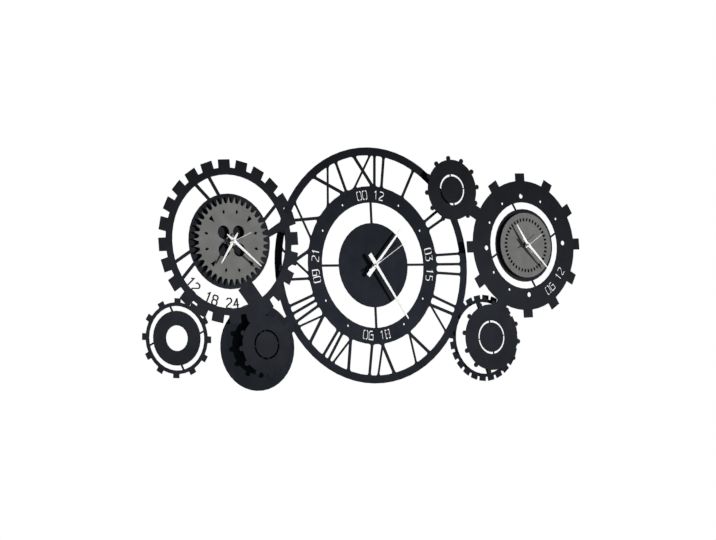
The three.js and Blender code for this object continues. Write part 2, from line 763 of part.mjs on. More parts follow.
// A bridge starts in the right gear's rim and ends in that of a smaller gear
function gearBridge(smallCentre, smallRadius, turn) {
  const heading = [smallCentre[0] - rightCentre[0], smallCentre[1] - rightCentre[1]];
  const angle = (Math.atan2(...heading) * 180) / Math.PI + turn;
  const end = between(rightCentre, smallCentre) - smallRadius + bridgeLap;
  return strokeOutline([
    polar(rightCentre, rightRootRadius - overlapIntoRing, angle), polar(rightCentre, end, angle),
  ], bridgeWidth);
}

// The right gear has large holes at the quarters, small ones at the other hours, and a
// number where the holes of four and five would be. Their circle stands a little off centre.
const numberHours = [4, 5];
const rightHoleCentre = [rightCentre[0] + rightHoleShift, rightCentre[1]];
const rightNumberAngle = 133.5;

function rightPlate() {
  const sheet = (outline, holes) => slab(outline, frontBack, sheetThickness, holes);
  const spokes = steps(4).map((k) => spokeOutline(
    rightCentre, rightDiscRadius - overlapIntoRing, rightSlotOuterRadius + overlapIntoRing,
    rightSpokePhase + k * 90, spokeLean, rightSpokeWidth));
  const bridges = [
    gearBridge(topGearCentre, topGearRadius, topBridgeTurn),
    gearBridge(lowGearCentre, lowGearRadius, lowBridgeTurn),
  ];
  const pieces = [
    sheet(toothedOutline(rightCentre, rightRootRadius, rightToothHeight, rightToothCount,
      rightToothWidth, rightToothPhase), [circle(rightCentre, rightSlotOuterRadius)]),
    sheet(circle(rightCentre, rightDiscRadius)),
    ...[...spokes, ...bridges].map((outline) => sheet(outline)),
    ...knobGearPieces(topGearCentre, topGearRadius, topGearKnobPhase, frontBack),
    ...knobGearPieces(lowGearCentre, lowGearRadius, lowGearKnobPhase, frontBack),
    ...rightStuds.flatMap(studPieces),
    postPiece(wallPosts.right),
  ];
  const holes = hourSteps.filter((hour) => !numberHours.includes(hour)).map((hour) => circle(
    polar(rightHoleCentre, rightHoleCircle, hour * 30 + rightHolePhase),
    isQuarter(hour) ? rightLargeHoleRadius : rightSmallHoleRadius));
  const cuts = [
    ...holes,
    ...cutNumbers("06 12", rightCentre, rightNumberCircle, rightNumberAngle, false),
    circle(rightCentre, bushRadius + plateHoleClearance),
    ...ringSlot(topGearCentre, topGearSlotRadius, wideSlotWidth),
    ...ringSlot(lowGearCentre, lowGearSlotRadius, wideSlotWidth),
  ];
  return build(pieces, cuts.map((outline) => throughCut(outline, frontBack)));
}

// Grey dial plates
function leftDialGear() {
  const outline = pointedOutline(leftCentre, greyGearRootRadius, greyGearToothHeight,
    greyGearToothCount, greyGearToothShare, greyGearToothPhase);
  const holes = steps(4).map((k) =>
    circle(polar(leftCentre, greyHoleCircle, 45 + k * 90), greyHoleRadius));
  const marks = hourSteps.map((hour) => {
    const angle = 15 + hour * 30;
    const isWedge = hour % 3 === 1;
    const width = isWedge ? greyWedgeWidth : greyMarkWidth;
    const length = isWedge ? greyWedgeLength : greyMarkLength;
    const half = angleOf(width / 2, greyMarkCircle + length / 2);
    const outer = greyMarkCircle + length / 2;
    if (isWedge) {
      return [
        polar(leftCentre, outer, angle - half), polar(leftCentre, outer, angle + half),
        polar(leftCentre, outer - length, angle),
      ];
    }
    return [
      polar(leftCentre, outer, angle), polar(leftCentre, greyMarkCircle, angle + half),
      polar(leftCentre, outer - length, angle), polar(leftCentre, greyMarkCircle, angle - half),
    ];
  });
  const bore = circle(leftCentre, bushRadius + plateHoleClearance);
  return slab(outline, greyBack, dialThickness, [...holes, ...marks, bore]);
}

function rightDialDisc() {
  const marks = steps(minuteMarkCount).map((k) => {
    const angle = minuteMarkPhase + (k * 360) / minuteMarkCount;
    return strokeOutline([
      polar(rightCentre, minuteMarkCircle - minuteMarkLength / 2, angle),
      polar(rightCentre, minuteMarkCircle + minuteMarkLength / 2, angle),
    ], minuteMarkWidth);
  });
  const bore = circle(rightCentre, bushRadius + plateHoleClearance);
  return slab(circle(rightCentre, greyDiscRadius), greyBack, dialThickness, [...marks, bore]);
}

// A gear with pointed teeth and a flat valley between them
function pointedOutline(centre, root, height, count, share, phase) {
  const halfFoot = (share * 180) / count;
  return steps(count).flatMap((k) => {
    const angle = phase + (k * 360) / count;
    return [
      polar(centre, root, angle - halfFoot),
      polar(centre, root + height, angle),
      polar(centre, root, angle + halfFoot),
    ];
  });
}

// A ring or a plate with one round hole, from back towards the viewer
function ring(centre, outer, bore, back, thickness) {
  return slab(circle(centre, outer), back, thickness, [circle(centre, bore)]);
}

function hexagon(centre, flatWidth) {
  return circle(centre, flatWidth / 2 / Math.cos(Math.PI / 6), 6);
}

function hexNut(centre, flatWidth, bore, back, thickness) {
  return slab(hexagon(centre, flatWidth), back, thickness, [circle(centre, bore)]);
}

function rectangle(centre, width, height, shiftX = 0, shiftZ = 0) {
  const [x, z] = [centre[0] + shiftX, centre[1] + shiftZ];
  return [
    [x - width / 2, z - height / 2], [x + width / 2, z - height / 2],
    [x + width / 2, z + height / 2], [x - width / 2, z + height / 2],
  ];
}

// A rod that lies along X
function lyingRod(x, y, z, radius, length) {
  const geometry = new THREE.CylinderGeometry(radius, radius, length, sideCount(radius) + 2);
  geometry.rotateZ(Math.PI / 2);
  geometry.translate(x, y, z);
  return geometry;
}

// The inside of the case is one room for the wheels above and a bay for the cell below
const bayHeight = 2 * (batteryRadius + seatGap);
const roomWidth = caseSize - 2 * caseWall;
const roomBottom = -caseSize / 2 + 2 * caseWall + bayHeight;
const roomHeight = caseSize / 2 - caseWall - roomBottom;

function movementCase(clock) {
  const { centre, caseFront } = clock;
  const caseBack = caseFront + caseDepth;
  const floor = caseFront + caseWall;
  const mouth = caseBack + cutMargin;
  const deepCut = (outline) => slab(outline, mouth, mouth - floor);
  const bayShift = -caseSize / 2 + caseWall + bayHeight / 2;
  return build([
    slab(rectangle(centre, caseSize, caseSize), caseBack, caseDepth),
    rod(centre, bushRadius, clock.bushEnd, caseFront + caseWall / 2),
  ], [
    deepCut(rectangle(centre, roomWidth, roomHeight, 0, roomBottom + roomHeight / 2)),
    deepCut(rectangle(centre, roomWidth, bayHeight, 0, bayShift)),
    rod(centre, bushBoreRadius, clock.bushEnd - cutMargin, floor + cutMargin),
  ]);
}

function movementLid(clock) {
  const { centre, caseFront, lidFront, motionCentre } = clock;
  const width = caseSize;
  const height = roomHeight + 2 * caseWall;
  const shift = roomBottom - caseWall + height / 2;
  const lip = caseFront + caseDepth - caseWall;
  return build([
    slab(rectangle(centre, width, height, 0, shift), lidFront + lidThickness, lidThickness),
    slab(rectangle(centre, roomWidth - 2 * seatGap, roomHeight - 2 * seatGap, 0,
      roomBottom + roomHeight / 2), lidFront + lidThickness / 2, lidFront + lidThickness / 2 - lip),
  ], [
    slab(rectangle(centre, roomWidth - 2 * seatGap - 2 * caseWall,
      roomHeight - 2 * seatGap - 2 * caseWall, 0, roomBottom + roomHeight / 2),
    lidFront, lidFront - lip + cutMargin),
    rod(motionCentre, knobStemRadius + seatGap, lidFront - cutMargin,
      lidFront + lidThickness + cutMargin),
  ]);
}

function battery(clock) {
  const y = clock.caseFront + caseWall + seatGap + batteryRadius;
  const z = clock.centre[1] - caseSize / 2 + caseWall + bayHeight / 2;
  const [x] = clock.centre;
  return build([
    lyingRod(x - batteryCapLength / 2, y, z, batteryRadius, batteryLength),
    lyingRod(x + (batteryLength - batteryCapLap) / 2, y, z, batteryCapRadius,
      batteryCapLength + batteryCapLap),
  ]);
}

// A toothed wheel whose tip circle has the given radius
function wheelOutline(centre, tipRadius, teeth) {
  return steps(2 * teeth).map((k) =>
    polar(centre, k % 2 === 0 ? tipRadius : tipRadius - wheelToothHeight, (k * 180) / teeth));
}

function wheel(centre, tipRadius, teeth, front, bore) {
  return slab(wheelOutline(centre, tipRadius, teeth), front + wheelThickness, wheelThickness,
    [circle(centre, bore)]);
}

// The cannon pinion behind the minute hand turns the motion wheel, whose own pinion turns
// the hour wheel. The tooth counts set both ratios, and tip circles clear each other.
const pairRadius = (own, other) =>
  ((wheelCentreDistance - seatGap) * own) / (own + other);
const cannonRadius = pairRadius(cannonTeeth, motionWheelTeeth);
const motionWheelRadius = pairRadius(motionWheelTeeth, cannonTeeth);
const motionPinionRadius = pairRadius(motionPinionTeeth, hourWheelTeeth);
const hourWheelRadius = pairRadius(hourWheelTeeth, motionPinionTeeth);
const wheelLevel = (clock, level) =>
  clock.caseFront + caseWall + wheelGap + level * (wheelThickness + wheelGap);

function tube(centre, outer, bore, from, to) {
  return ring(centre, outer, bore, Math.max(from, to), Math.abs(to - from));
}

function hourWheel(clock) {
  const front = wheelLevel(clock, 0);
  const { centre } = clock;
  return build([
    slab(wheelOutline(centre, hourWheelRadius, hourWheelTeeth), front + wheelThickness,
      wheelThickness),
    rod(centre, hourTubeRadius, clock.hourFront, front + wheelThickness / 2),
  ], [rod(centre, hourTubeBore, clock.hourFront - cutMargin, front + wheelThickness + cutMargin)]);
}

function minuteWheel(clock) {
  const { centre } = clock;
  const front = wheelLevel(clock, 2);
  const back = front + wheelThickness;
  return build([
    slab(wheelOutline(centre, centreWheelRadius, otherWheelTeeth), back, wheelThickness),
    slab(wheelOutline(centre, cannonRadius, cannonTeeth), front + wheelThickness / 2,
      front + wheelThickness / 2 - wheelLevel(clock, 1)),
    rod(centre, minuteTubeRadius, clock.minuteFront, back - wheelThickness / 2),
  ], [rod(centre, minuteTubeBore, clock.minuteFront - cutMargin, back + cutMargin)]);
}

function secondWheel(clock) {
  const { centre } = clock;
  const front = wheelLevel(clock, 3);
  const pivotEnd = clock.lidFront - caseWall - seatGap;
  return build([
    slab(wheelOutline(centre, secondWheelRadius, otherWheelTeeth), front + wheelThickness,
      wheelThickness),
    rod(centre, secondArborRadius, clock.secondFront, pivotEnd),
  ]);
}

function motionWheel(clock) {
  const { motionCentre } = clock;
  const front = wheelLevel(clock, 0);
  const back = wheelLevel(clock, 1) + wheelThickness;
  return build([
    slab(wheelOutline(motionCentre, motionWheelRadius, motionWheelTeeth), back, wheelThickness),
    slab(wheelOutline(motionCentre, motionPinionRadius, motionPinionTeeth),
      back - wheelThickness / 2, back - wheelThickness / 2 - front),
  ], [rod(motionCentre, knobStemRadius + seatGap, front - cutMargin, back + cutMargin)]);
}

function settingKnob(clock) {
  const { motionCentre, lidFront } = clock;
  const head = lidFront + lidThickness + seatGap;
  const stemEnd = clock.caseFront + caseWall + seatGap;
  return build([
    slab(wheelOutline(motionCentre, settingKnobRadius, settingKnobTeeth),
      head + settingKnobHeight, settingKnobHeight),
    rod(motionCentre, knobStemRadius, stemEnd, head + settingKnobHeight / 2),
  ]);
}

function driveCoil(clock) {
  const [x, z] = clock.coilCentre;
  const y = clock.caseFront + caseWall + seatGap + coilFlangeRadius;
  const flangeShift = (coilLength - coilFlangeThickness) / 2;
  return build([
    lyingRod(x, y, z, coilRadius, coilLength - coilFlangeThickness),
    lyingRod(x - flangeShift, y, z, coilFlangeRadius, coilFlangeThickness),
    lyingRod(x + flangeShift, y, z, coilFlangeRadius, coilFlangeThickness),
  ]);
}

// A flat hand: a tapered bar with a tapered tail and a hub, pointing at its angle
function hand(centre, shape, front, bore) {
  const tail = polar(centre, -shape.tail, shape.angle);
  const root = polar(centre, 0, shape.angle);
  const tip = polar(centre, shape.length, shape.angle);
  const back = front + handThickness;
  const hub = Math.max(bore + hubMargin, shape.hub);
  return build([
    slab(strokeOutline([root, tip], shape.width, shape.tipWidth), back, handThickness),
    slab(strokeOutline([root, tail], shape.tailWidth, shape.tailTipWidth), back, handThickness),
    slab(circle(centre, hub), back, handThickness),
  ], [rod(centre, bore, front - cutMargin, back + cutMargin)]);
}

// Each clock has its own hands. The angles are those at which the hands stood when seen.
const mainHour = {
  angle: 43.1, length: mainHourLength, tail: mainHourTail, width: mainHourWidth,
  tipWidth: mainHourTipWidth, tailWidth: mainTailWidth, tailTipWidth: mainTailWidth,
  hub: handHubRadius,
};
const mainMinute = {
  angle: 145.9, length: mainMinuteLength, tail: mainMinuteTail, width: mainMinuteWidth,
  tipWidth: mainMinuteTipWidth, tailWidth: mainTailWidth, tailTipWidth: mainTailWidth,
  hub: handHubRadius,
};
const mainSecond = {
  angle: 58.8, length: mainSecondLength, tail: mainSecondTail, width: mainSecondWidth,
  tipWidth: mainSecondWidth, tailWidth: mainSecondTailWidth, tailTipWidth: mainSecondTailWidth,
  hub: secondHubRadius,
};
const sideHour = (angle, length) => ({
  angle, length, tail: sideHourTail, width: sideHourWidth, tipWidth: sideTipWidth,
  tailWidth: sideHourWidth, tailTipWidth: sideTipWidth, hub: handHubRadius,
});
const sideMinute = (angle, length) => ({
  angle, length, tail: sideMinuteTail, width: sideMinuteWidth, tipWidth: sideTipWidth,
  tailWidth: sideMinuteWidth, tailTipWidth: sideTipWidth, hub: handHubRadius,
});
const sideSecond = (angle) => ({
  angle, length: sideSecondLength, tail: sideSecondTail, width: sideSecondWidth,
  tipWidth: sideSecondWidth, tailWidth: sideSecondTailWidth, tailTipWidth: sideSecondTailWidth,
  hub: secondHubRadius,
});
const clocks = [
  {
    name: "main", centre: mainCentre, plateBack: mainBack, faceFront: mainFront,
    hour: mainHour, minute: mainMinute, second: mainSecond,
  },
  {
    name: "left", centre: leftCentre, plateBack: frontBack, faceFront: greyFront,
    hour: sideHour(214.6, leftHourLength),
    minute: sideMinute(129.5, leftMinuteLength), second: sideSecond(68),
  },
  {
    name: "right", centre: rightCentre, plateBack: frontBack, faceFront: greyFront,
    hour: sideHour(327.2, rightHourLength),
    minute: sideMinute(135, rightMinuteLength), second: sideSecond(58),
  },
];

// The depths of one clock's parts follow from the face and the sheet it is mounted on
function withDepths(clock) {
  const caseFront = clock.plateBack + washerThickness + 2 * seatGap;
  const nutBack = clock.faceFront - seatGap;
  const hourBack = clock.faceFront - handLift;
  const handPitch = handThickness + handGap;
  const stackFront = (index) => hourBack - index * handPitch - handThickness;
  const coilX = roomWidth / 2 - coilLength / 2 - coilEndGap;
  const coilZ = roomBottom + roomHeight - coilFlangeRadius - seatGap;
  return {
    ...clock,
    caseFront,
    nutBack,
    washerBack: clock.plateBack + seatGap + washerThickness,
    bushEnd: nutBack - nutThickness - bushBeyondNut,
    lidFront: caseFront + caseDepth + seatGap,
    hourFront: stackFront(0),
    minuteFront: stackFront(1),
    secondFront: stackFront(2),
    motionCentre: polar(clock.centre, wheelCentreDistance, motionWheelDirection),
    coilCentre: [clock.centre[0] + coilX, clock.centre[1] + coilZ],
  };
}

// A short piece of square tube welded behind the ring, with a keyhole in its wall side
function hanger(shift) {
  const at = [mainCentre[0] + shift, mainCentre[1] + hangerLevel];
  const depth = wallGap - seatGap;
  const inside = depth - 2 * hangerThickness;
  const box = slab(rectangle(at, hangerWidth, hangerHeight), 0, depth);
  const hollow = slab(
    rectangle(at, hangerWidth - 2 * hangerThickness, hangerHeight + 2 * cutMargin),
    -hangerThickness, inside);
  const entry = [at[0], at[1] - keyholeDrop];
  const slotTop = [at[0], at[1] - keyholeDrop + keyholeRise];
  const through = (outline) => slab(outline, cutMargin, hangerThickness + 2 * cutMargin);
  return build([box], [
    hollow,
    through(circle(entry, keyholeRadius)),
    through(strokeOutline([entry, slotTop], keyholeSlotWidth)),
  ]);
}

const group = new THREE.Group();
group.name = "world_time_wall_clock";

function add(name, geometry, material) {
  const mesh = new THREE.Mesh(geometry, material.clone());
  mesh.name = name;
  group.add(mesh);
}

add("main_dial_plate", mainPlate(), blackPaint);
add("left_gear_plate", leftPlate(), blackPaint);
add("right_gear_plate", rightPlate(), blackPaint);
add("left_dial_gear", leftDialGear(), greyPaint);
add("right_dial_disc", rightDialDisc(), greyPaint);

[["left", leftStuds], ["right", rightStuds]].forEach(([side, studs]) => {
  studs.forEach((centre, index) => {
    const nut = hexNut(centre, hexNutFlatWidth, studRadius + seatGap,
      mainBack + seatGap + hexNutThickness, hexNutThickness);
    add(`${side}_stud_nut_${index + 1}`, nut, zincSteel);
  });
});

add("left_hanger", hanger(leftHangerShift), blackSteel);
add("right_hanger", hanger(rightHangerShift), blackSteel);
Object.entries(wallPosts).forEach(([name, post]) => {
  add(`${name}_wall_foot`, footGeometry(post), blackRubber);
});

for (const clock of clocks.map(withDepths)) {
  const { name, centre } = clock;
  if (clock.faceFront === greyFront) {
    add(`${name}_dial_spacer`, ring(centre, dialSpacerRadius, bushRadius + plateHoleClearance,
      frontFront - seatGap, dialGap - 2 * seatGap), blackPlastic);
  }
  add(`${name}_movement_case`, movementCase(clock), blackPlastic);
  add(`${name}_movement_lid`, movementLid(clock), blackPlastic);
  add(`${name}_battery`, battery(clock), cellSleeve);
  add(`${name}_setting_knob`, settingKnob(clock), palePlastic);
  add(`${name}_motion_wheel`, motionWheel(clock), palePlastic);
  add(`${name}_hour_wheel`, hourWheel(clock), palePlastic);
  add(`${name}_minute_wheel`, minuteWheel(clock), palePlastic);
  add(`${name}_second_wheel`, secondWheel(clock), palePlastic);
  add(`${name}_drive_coil`, driveCoil(clock), copper);
  add(`${name}_washer`, ring(centre, washerRadius, bushRadius + plateHoleClearance,
    clock.washerBack, washerThickness), blackRubber);
  add(`${name}_bush_nut`, hexNut(centre, nutFlatWidth, bushRadius + plateHoleClearance,
    clock.nutBack, nutThickness), blackSteel);
  add(`${name}_hour_hand`, hand(centre, clock.hour, clock.hourFront, hourTubeRadius + seatGap),
    whitePaint);
  add(`${name}_minute_hand`,
    hand(centre, clock.minute, clock.minuteFront, minuteTubeRadius + seatGap), whitePaint);
  add(`${name}_second_hand`,
    hand(centre, clock.second, clock.secondFront, secondArborRadius + seatGap), whitePaint);
}

export default group;
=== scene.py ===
# %% [markdown]
# A wall clock cut from sheet steel: one large Roman dial between two gear dials, in two
# layers, with three quartz movements behind it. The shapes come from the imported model.
# This lesson dresses them: first the camera and the light, then one finish for each
# material, then the small turned and moulded pieces that a flat sheet can't show.

import math

import bpy
from mathutils import Matrix, Vector


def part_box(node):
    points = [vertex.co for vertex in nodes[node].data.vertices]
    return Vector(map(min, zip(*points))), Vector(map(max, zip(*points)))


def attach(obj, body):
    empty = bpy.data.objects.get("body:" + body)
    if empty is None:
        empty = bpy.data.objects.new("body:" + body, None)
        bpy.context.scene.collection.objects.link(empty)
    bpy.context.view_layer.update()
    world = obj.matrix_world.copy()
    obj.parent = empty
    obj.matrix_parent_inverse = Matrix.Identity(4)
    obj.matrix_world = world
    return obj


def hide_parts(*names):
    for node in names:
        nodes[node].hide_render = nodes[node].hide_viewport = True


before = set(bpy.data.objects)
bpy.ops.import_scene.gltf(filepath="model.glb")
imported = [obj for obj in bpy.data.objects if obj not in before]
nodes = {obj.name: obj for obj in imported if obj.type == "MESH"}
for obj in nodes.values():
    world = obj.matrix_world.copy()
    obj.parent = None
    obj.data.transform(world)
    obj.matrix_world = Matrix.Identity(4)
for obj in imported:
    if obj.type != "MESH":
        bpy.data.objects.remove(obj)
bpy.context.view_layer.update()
MM = 0.001

# %% [markdown]
# The camera stands 5.1 m away, left of the dial and a quarter of a metre below its centre,
# with a long lens, so circles turn into upright ellipses and near things hardly grow.
# The three turns are written one after the other, because a reader can then change one
# and see what it does. Blender's camera looks along its own minus Z, with Y up.

# %% Camera
IMAGE_WIDTH = 716
FOCAL_PIXELS = 2414.0
SENSOR_WIDTH = 36.0
CAMERA_PLACE = Vector((-2.9963, -4.1425, -0.2561))
YAW, PITCH, ROLL = math.radians(-35.665), math.radians(2.780), math.radians(-2.645)

camera_data = bpy.data.cameras.new("photo_camera")
camera_data.sensor_fit = "HORIZONTAL"
camera_data.sensor_width = SENSOR_WIDTH
camera_data.lens = FOCAL_PIXELS / IMAGE_WIDTH * SENSOR_WIDTH
camera_data.clip_end = 100
camera = bpy.data.objects.new("photo_camera", camera_data)
bpy.context.collection.objects.link(camera)
upright = Matrix.Rotation(math.radians(90), 4, "X")
turn = Matrix.Rotation(YAW, 4, "Z") @ upright @ Matrix.Rotation(PITCH, 4, "X")
camera.matrix_world = Matrix.Translation(CAMERA_PLACE) @ turn @ Matrix.Rotation(ROLL, 4, "Z")
bpy.context.scene.camera = camera
print("lens in mm:", round(camera_data.lens, 1))

# %% [markdown]
# The photo is a cut-out on white: hard, dark shadows fall to the left on the dials, so
# one strong lamp stands to the right, as high as the clock. A sun lamp gives parallel
# rays, and its small angle keeps the shadow edges crisp. A weak even sky fills the rest.
# The sky is white only to the rays that look at it, straight, in a mirror or through glass,
# so it doesn't wash out the black paint.
# A soft lamp behind shows the movements to whoever turns the clock around. It is just
# strong enough for the paint there to look as dark as it is written.

# %% Light
SUN_LEVEL = 4.05
SUN_ANGLE = math.radians(1.2)
SUN_HEADING = (-1.15, 1.0, -0.03)
SKY_LEVEL = 0.06
TOP_LIGHT_WATTS = 5
REAR_LIGHT_WATTS = 80

sun_data = bpy.data.lights.new("window_light", "SUN")
sun_data.energy = SUN_LEVEL
sun_data.angle = SUN_ANGLE
sun = bpy.data.objects.new("window_light", sun_data)
sun.rotation_euler = Vector(SUN_HEADING).to_track_quat("-Z", "Y").to_euler()
bpy.context.collection.objects.link(sun)


def soft_lamp(name, watts, wide, high, place):
    """A rectangle of light that looks at the middle of the clock and isn't seen itself."""
    data = bpy.data.lights.new(name, "AREA")
    data.shape = "RECTANGLE"
    data.size, data.size_y = wide, high
    data.energy = watts
    lamp = bpy.data.objects.new(name, data)
    lamp.location = place
    lamp.rotation_euler = (-Vector(place)).to_track_quat("-Z", "Y").to_euler()
    lamp.visible_camera = False
    bpy.context.collection.objects.link(lamp)


soft_lamp("ceiling_light", TOP_LIGHT_WATTS, wide=2.4, high=1.2, place=(0.3, -0.9, 2.2))
soft_lamp("rear_light", REAR_LIGHT_WATTS, wide=1.6, high=1.6, place=(0.9, 2.2, 0.9))


def seen_level(tree, unseen, seen):
    """One strength to camera, mirror and see-through rays, and another to all other rays."""
    new, link = tree.nodes.new, tree.links.new
    path = new("ShaderNodeLightPath")
    looks = path.outputs["Is Camera Ray"]
    for kind in ("Is Glossy Ray", "Is Transmission Ray"):
        either = new("ShaderNodeMath")
        either.operation = "MAXIMUM"
        link(looks, either.inputs[0])
        link(path.outputs[kind], either.inputs[1])
        looks = either.outputs[0]
    level = new("ShaderNodeMapRange")
    level.inputs["To Min"].default_value = unseen
    level.inputs["To Max"].default_value = seen
    link(looks, level.inputs["Value"])
    return level.outputs["Result"]


world = bpy.data.worlds.new("studio")
bpy.context.scene.world = world
world.use_nodes = True
background = world.node_tree.nodes["Background"]
background.inputs["Color"].default_value = (1, 1, 1, 1)
world.node_tree.links.new(seen_level(world.node_tree, SKY_LEVEL, 1.0),
                          background.inputs["Strength"])
bpy.context.scene.view_settings.view_transform = "Standard"
print("sun level:", SUN_LEVEL, "sky level:", SKY_LEVEL)

# %% [markdown]
# The clock hangs in the air here, as in the photo, and a pale floor lies far enough
# below it to stay out of the picture. It is a stage piece, so it isn't part of the clock.
# Its glow is for the rays that look at it alone: it pales the floor and doesn't light the clock.

# %% Floor
FLOOR_LEVEL = -0.9
FLOOR_HALF = 2.2
FLOOR_GLOW = 0.72
FLOOR_COLOUR = (0.9, 0.9, 0.9, 1)
FLOOR_ROUGHNESS = 0.9

floor_mesh = bpy.data.meshes.new("studio_floor")
floor_corners = [(x * FLOOR_HALF, y * FLOOR_HALF, FLOOR_LEVEL)
                 for x, y in ((-1, -1), (1, -1), (1, 1), (-1, 1))]
floor_mesh.from_pydata(floor_corners, [], [(0, 1, 2, 3)])
floor = bpy.data.objects.new("studio_floor", floor_mesh)
bpy.context.collection.objects.link(floor)
floor_finish = bpy.data.materials.new("pale_floor")
floor_finish.use_nodes = True
floor_shader = floor_finish.node_tree.nodes["Principled BSDF"]
floor_shader.inputs["Base Color"].default_value = FLOOR_COLOUR
floor_shader.inputs["Roughness"].default_value = FLOOR_ROUGHNESS
floor_shader.inputs["Emission Color"].default_value = (1, 1, 1, 1)
floor_finish.node_tree.links.new(seen_level(floor_finish.node_tree, 0.0, FLOOR_GLOW),
                                 floor_shader.inputs["Emission Strength"])
floor_mesh.materials.append(floor_finish)
print("floor at", FLOOR_LEVEL, "m")

# %% [markdown]
# Every finish is a small tree of nodes that starts from the piece's own coordinates, so
# its grain has a real size in metres and stays put when the piece turns. Three things
# repeat: a slow noise that shifts the colour a little, a noise that varies the
# roughness, and a fine noise that bumps the surface. One helper makes that tree.
# A Bevel node rounds the sharp corners for the light alone, as paint does on a cut edge.

# %% A helper for finishes
PATCH_EDGES = (0.35, 0.65)
PATCH_DETAIL = 4
GRAIN_DETAIL = 2
BLOTCHES_PER_PATCH = 5
CORNER_SAMPLES = 4
BUMP_STRENGTH = 0.6


def finish(name, dark, light, rough, grain, depth, metallic=0.0, gloss=0.5, patch=30.0, edge=0.25):
    """dark and light bound the colour, rough the roughness; grain is in 1/m, depth in mm."""
    material = bpy.data.materials.new(name)
    material.use_nodes = True
    tree = material.node_tree
    new, link = tree.nodes.new, tree.links.new
    shader = tree.nodes["Principled BSDF"]
    shader.inputs["Metallic"].default_value = metallic
    shader.inputs["Specular IOR Level"].default_value = gloss
    place = new("ShaderNodeTexCoord")

    slow = new("ShaderNodeTexNoise")
    slow.inputs["Scale"].default_value = patch
    slow.inputs["Detail"].default_value = PATCH_DETAIL
    link(place.outputs["Object"], slow.inputs["Vector"])
    shades = new("ShaderNodeValToRGB")
    for stop, position, colour in zip(shades.color_ramp.elements, PATCH_EDGES, (dark, light)):
        stop.position = position
        stop.color = (*colour, 1)
    link(slow.outputs["Fac"], shades.inputs["Fac"])
    link(shades.outputs["Color"], shader.inputs["Base Color"])

    blotch = new("ShaderNodeTexNoise")
    blotch.inputs["Scale"].default_value = patch * BLOTCHES_PER_PATCH
    link(place.outputs["Object"], blotch.inputs["Vector"])
    sheen = new("ShaderNodeMapRange")
    sheen.inputs["To Min"].default_value = rough[0]
    sheen.inputs["To Max"].default_value = rough[1]
    link(blotch.outputs["Fac"], sheen.inputs["Value"])
    link(sheen.outputs["Result"], shader.inputs["Roughness"])

    fine = new("ShaderNodeTexNoise")
    fine.inputs["Scale"].default_value = grain
    fine.inputs["Detail"].default_value = GRAIN_DETAIL
    link(place.outputs["Object"], fine.inputs["Vector"])
    corner = new("ShaderNodeBevel")
    corner.samples = CORNER_SAMPLES
    corner.inputs["Radius"].default_value = edge * MM
    bump = new("ShaderNodeBump")
    bump.inputs["Strength"].default_value = BUMP_STRENGTH
    bump.inputs["Distance"].default_value = depth * MM
    link(fine.outputs["Fac"], bump.inputs["Height"])
    link(corner.outputs["Normal"], bump.inputs["Normal"])
    link(bump.outputs["Normal"], shader.inputs["Normal"])
    return material


# %% [markdown]
# A painted highlight: the black coats are painted lightest around the lower middle and darker
# towards the top, a broad sheen put into the colour. A Gradient node gives such a wide patch: its
# spherical form is 1 at a centre and falls to 0 at a distance, and a Mapping node sets both, in
# metres.

# %% A helper for the painted sheen
def paint_wide_sheen(material, centre, reach, least):
    """Painted sheen: full colour at the centre, and this least share of it where the reach ends.
    """
    tree = material.node_tree
    new, link = tree.nodes.new, tree.links.new
    base = tree.nodes["Principled BSDF"].inputs["Base Color"]
    colour = base.links[0].from_socket
    place = new("ShaderNodeTexCoord")
    spread = new("ShaderNodeMapping")
    spread.inputs["Location"].default_value = [-c / r for c, r in zip(centre, reach)]
    spread.inputs["Scale"].default_value = [1 / r for r in reach]
    ball = new("ShaderNodeTexGradient")
    ball.gradient_type = "SPHERICAL"
    share = new("ShaderNodeValToRGB")
    share.color_ramp.interpolation = "EASE"
    share.color_ramp.elements[0].color = (least, least, least, 1)
    share.color_ramp.elements[1].color = (1, 1, 1, 1)
    darker = new("ShaderNodeMix")
    darker.data_type = "RGBA"
    darker.blend_type = "MULTIPLY"
    darker.inputs["Factor"].default_value = 1.0
    link(place.outputs["Object"], spread.inputs["Vector"])
    link(spread.outputs["Vector"], ball.inputs["Vector"])
    link(ball.outputs["Fac"], share.inputs["Fac"])
    link(colour, darker.inputs["A"])
    link(share.outputs["Color"], darker.inputs["B"])
    link(darker.outputs["Result"], base)


# %% [markdown]
# Powder coat is paint that was dusted on dry and melted in an oven. It flows into a slightly
# pebbled skin with peaks under a millimetre apart. The sheets are a blue-black that reflects very
# little, so the gloss is set far below that of plain plastic. The back sheet's coat is painted a
# shade darker than the front one's, as painted shade on the layer that lies behind, which sets the
# gears apart from the dial behind them. The grey dial plates have the same skin in a neutral grey.

# %% Paints
# One black coat in two levels: the back one is painted a shade darker, as painted shade.
shaded_back_coat = finish("shaded_back_powder_coat", (0.0135, 0.0162, 0.022), (0.019, 0.0222, 0.0292),
                   (0.64, 0.8), 1500, 0.05, gloss=0.02, patch=26)
lit_front_coat = finish("lit_front_powder_coat", (0.0178, 0.0202, 0.0255), (0.023, 0.0258, 0.0322),
                    (0.64, 0.8), 1500, 0.05, gloss=0.02, patch=26)
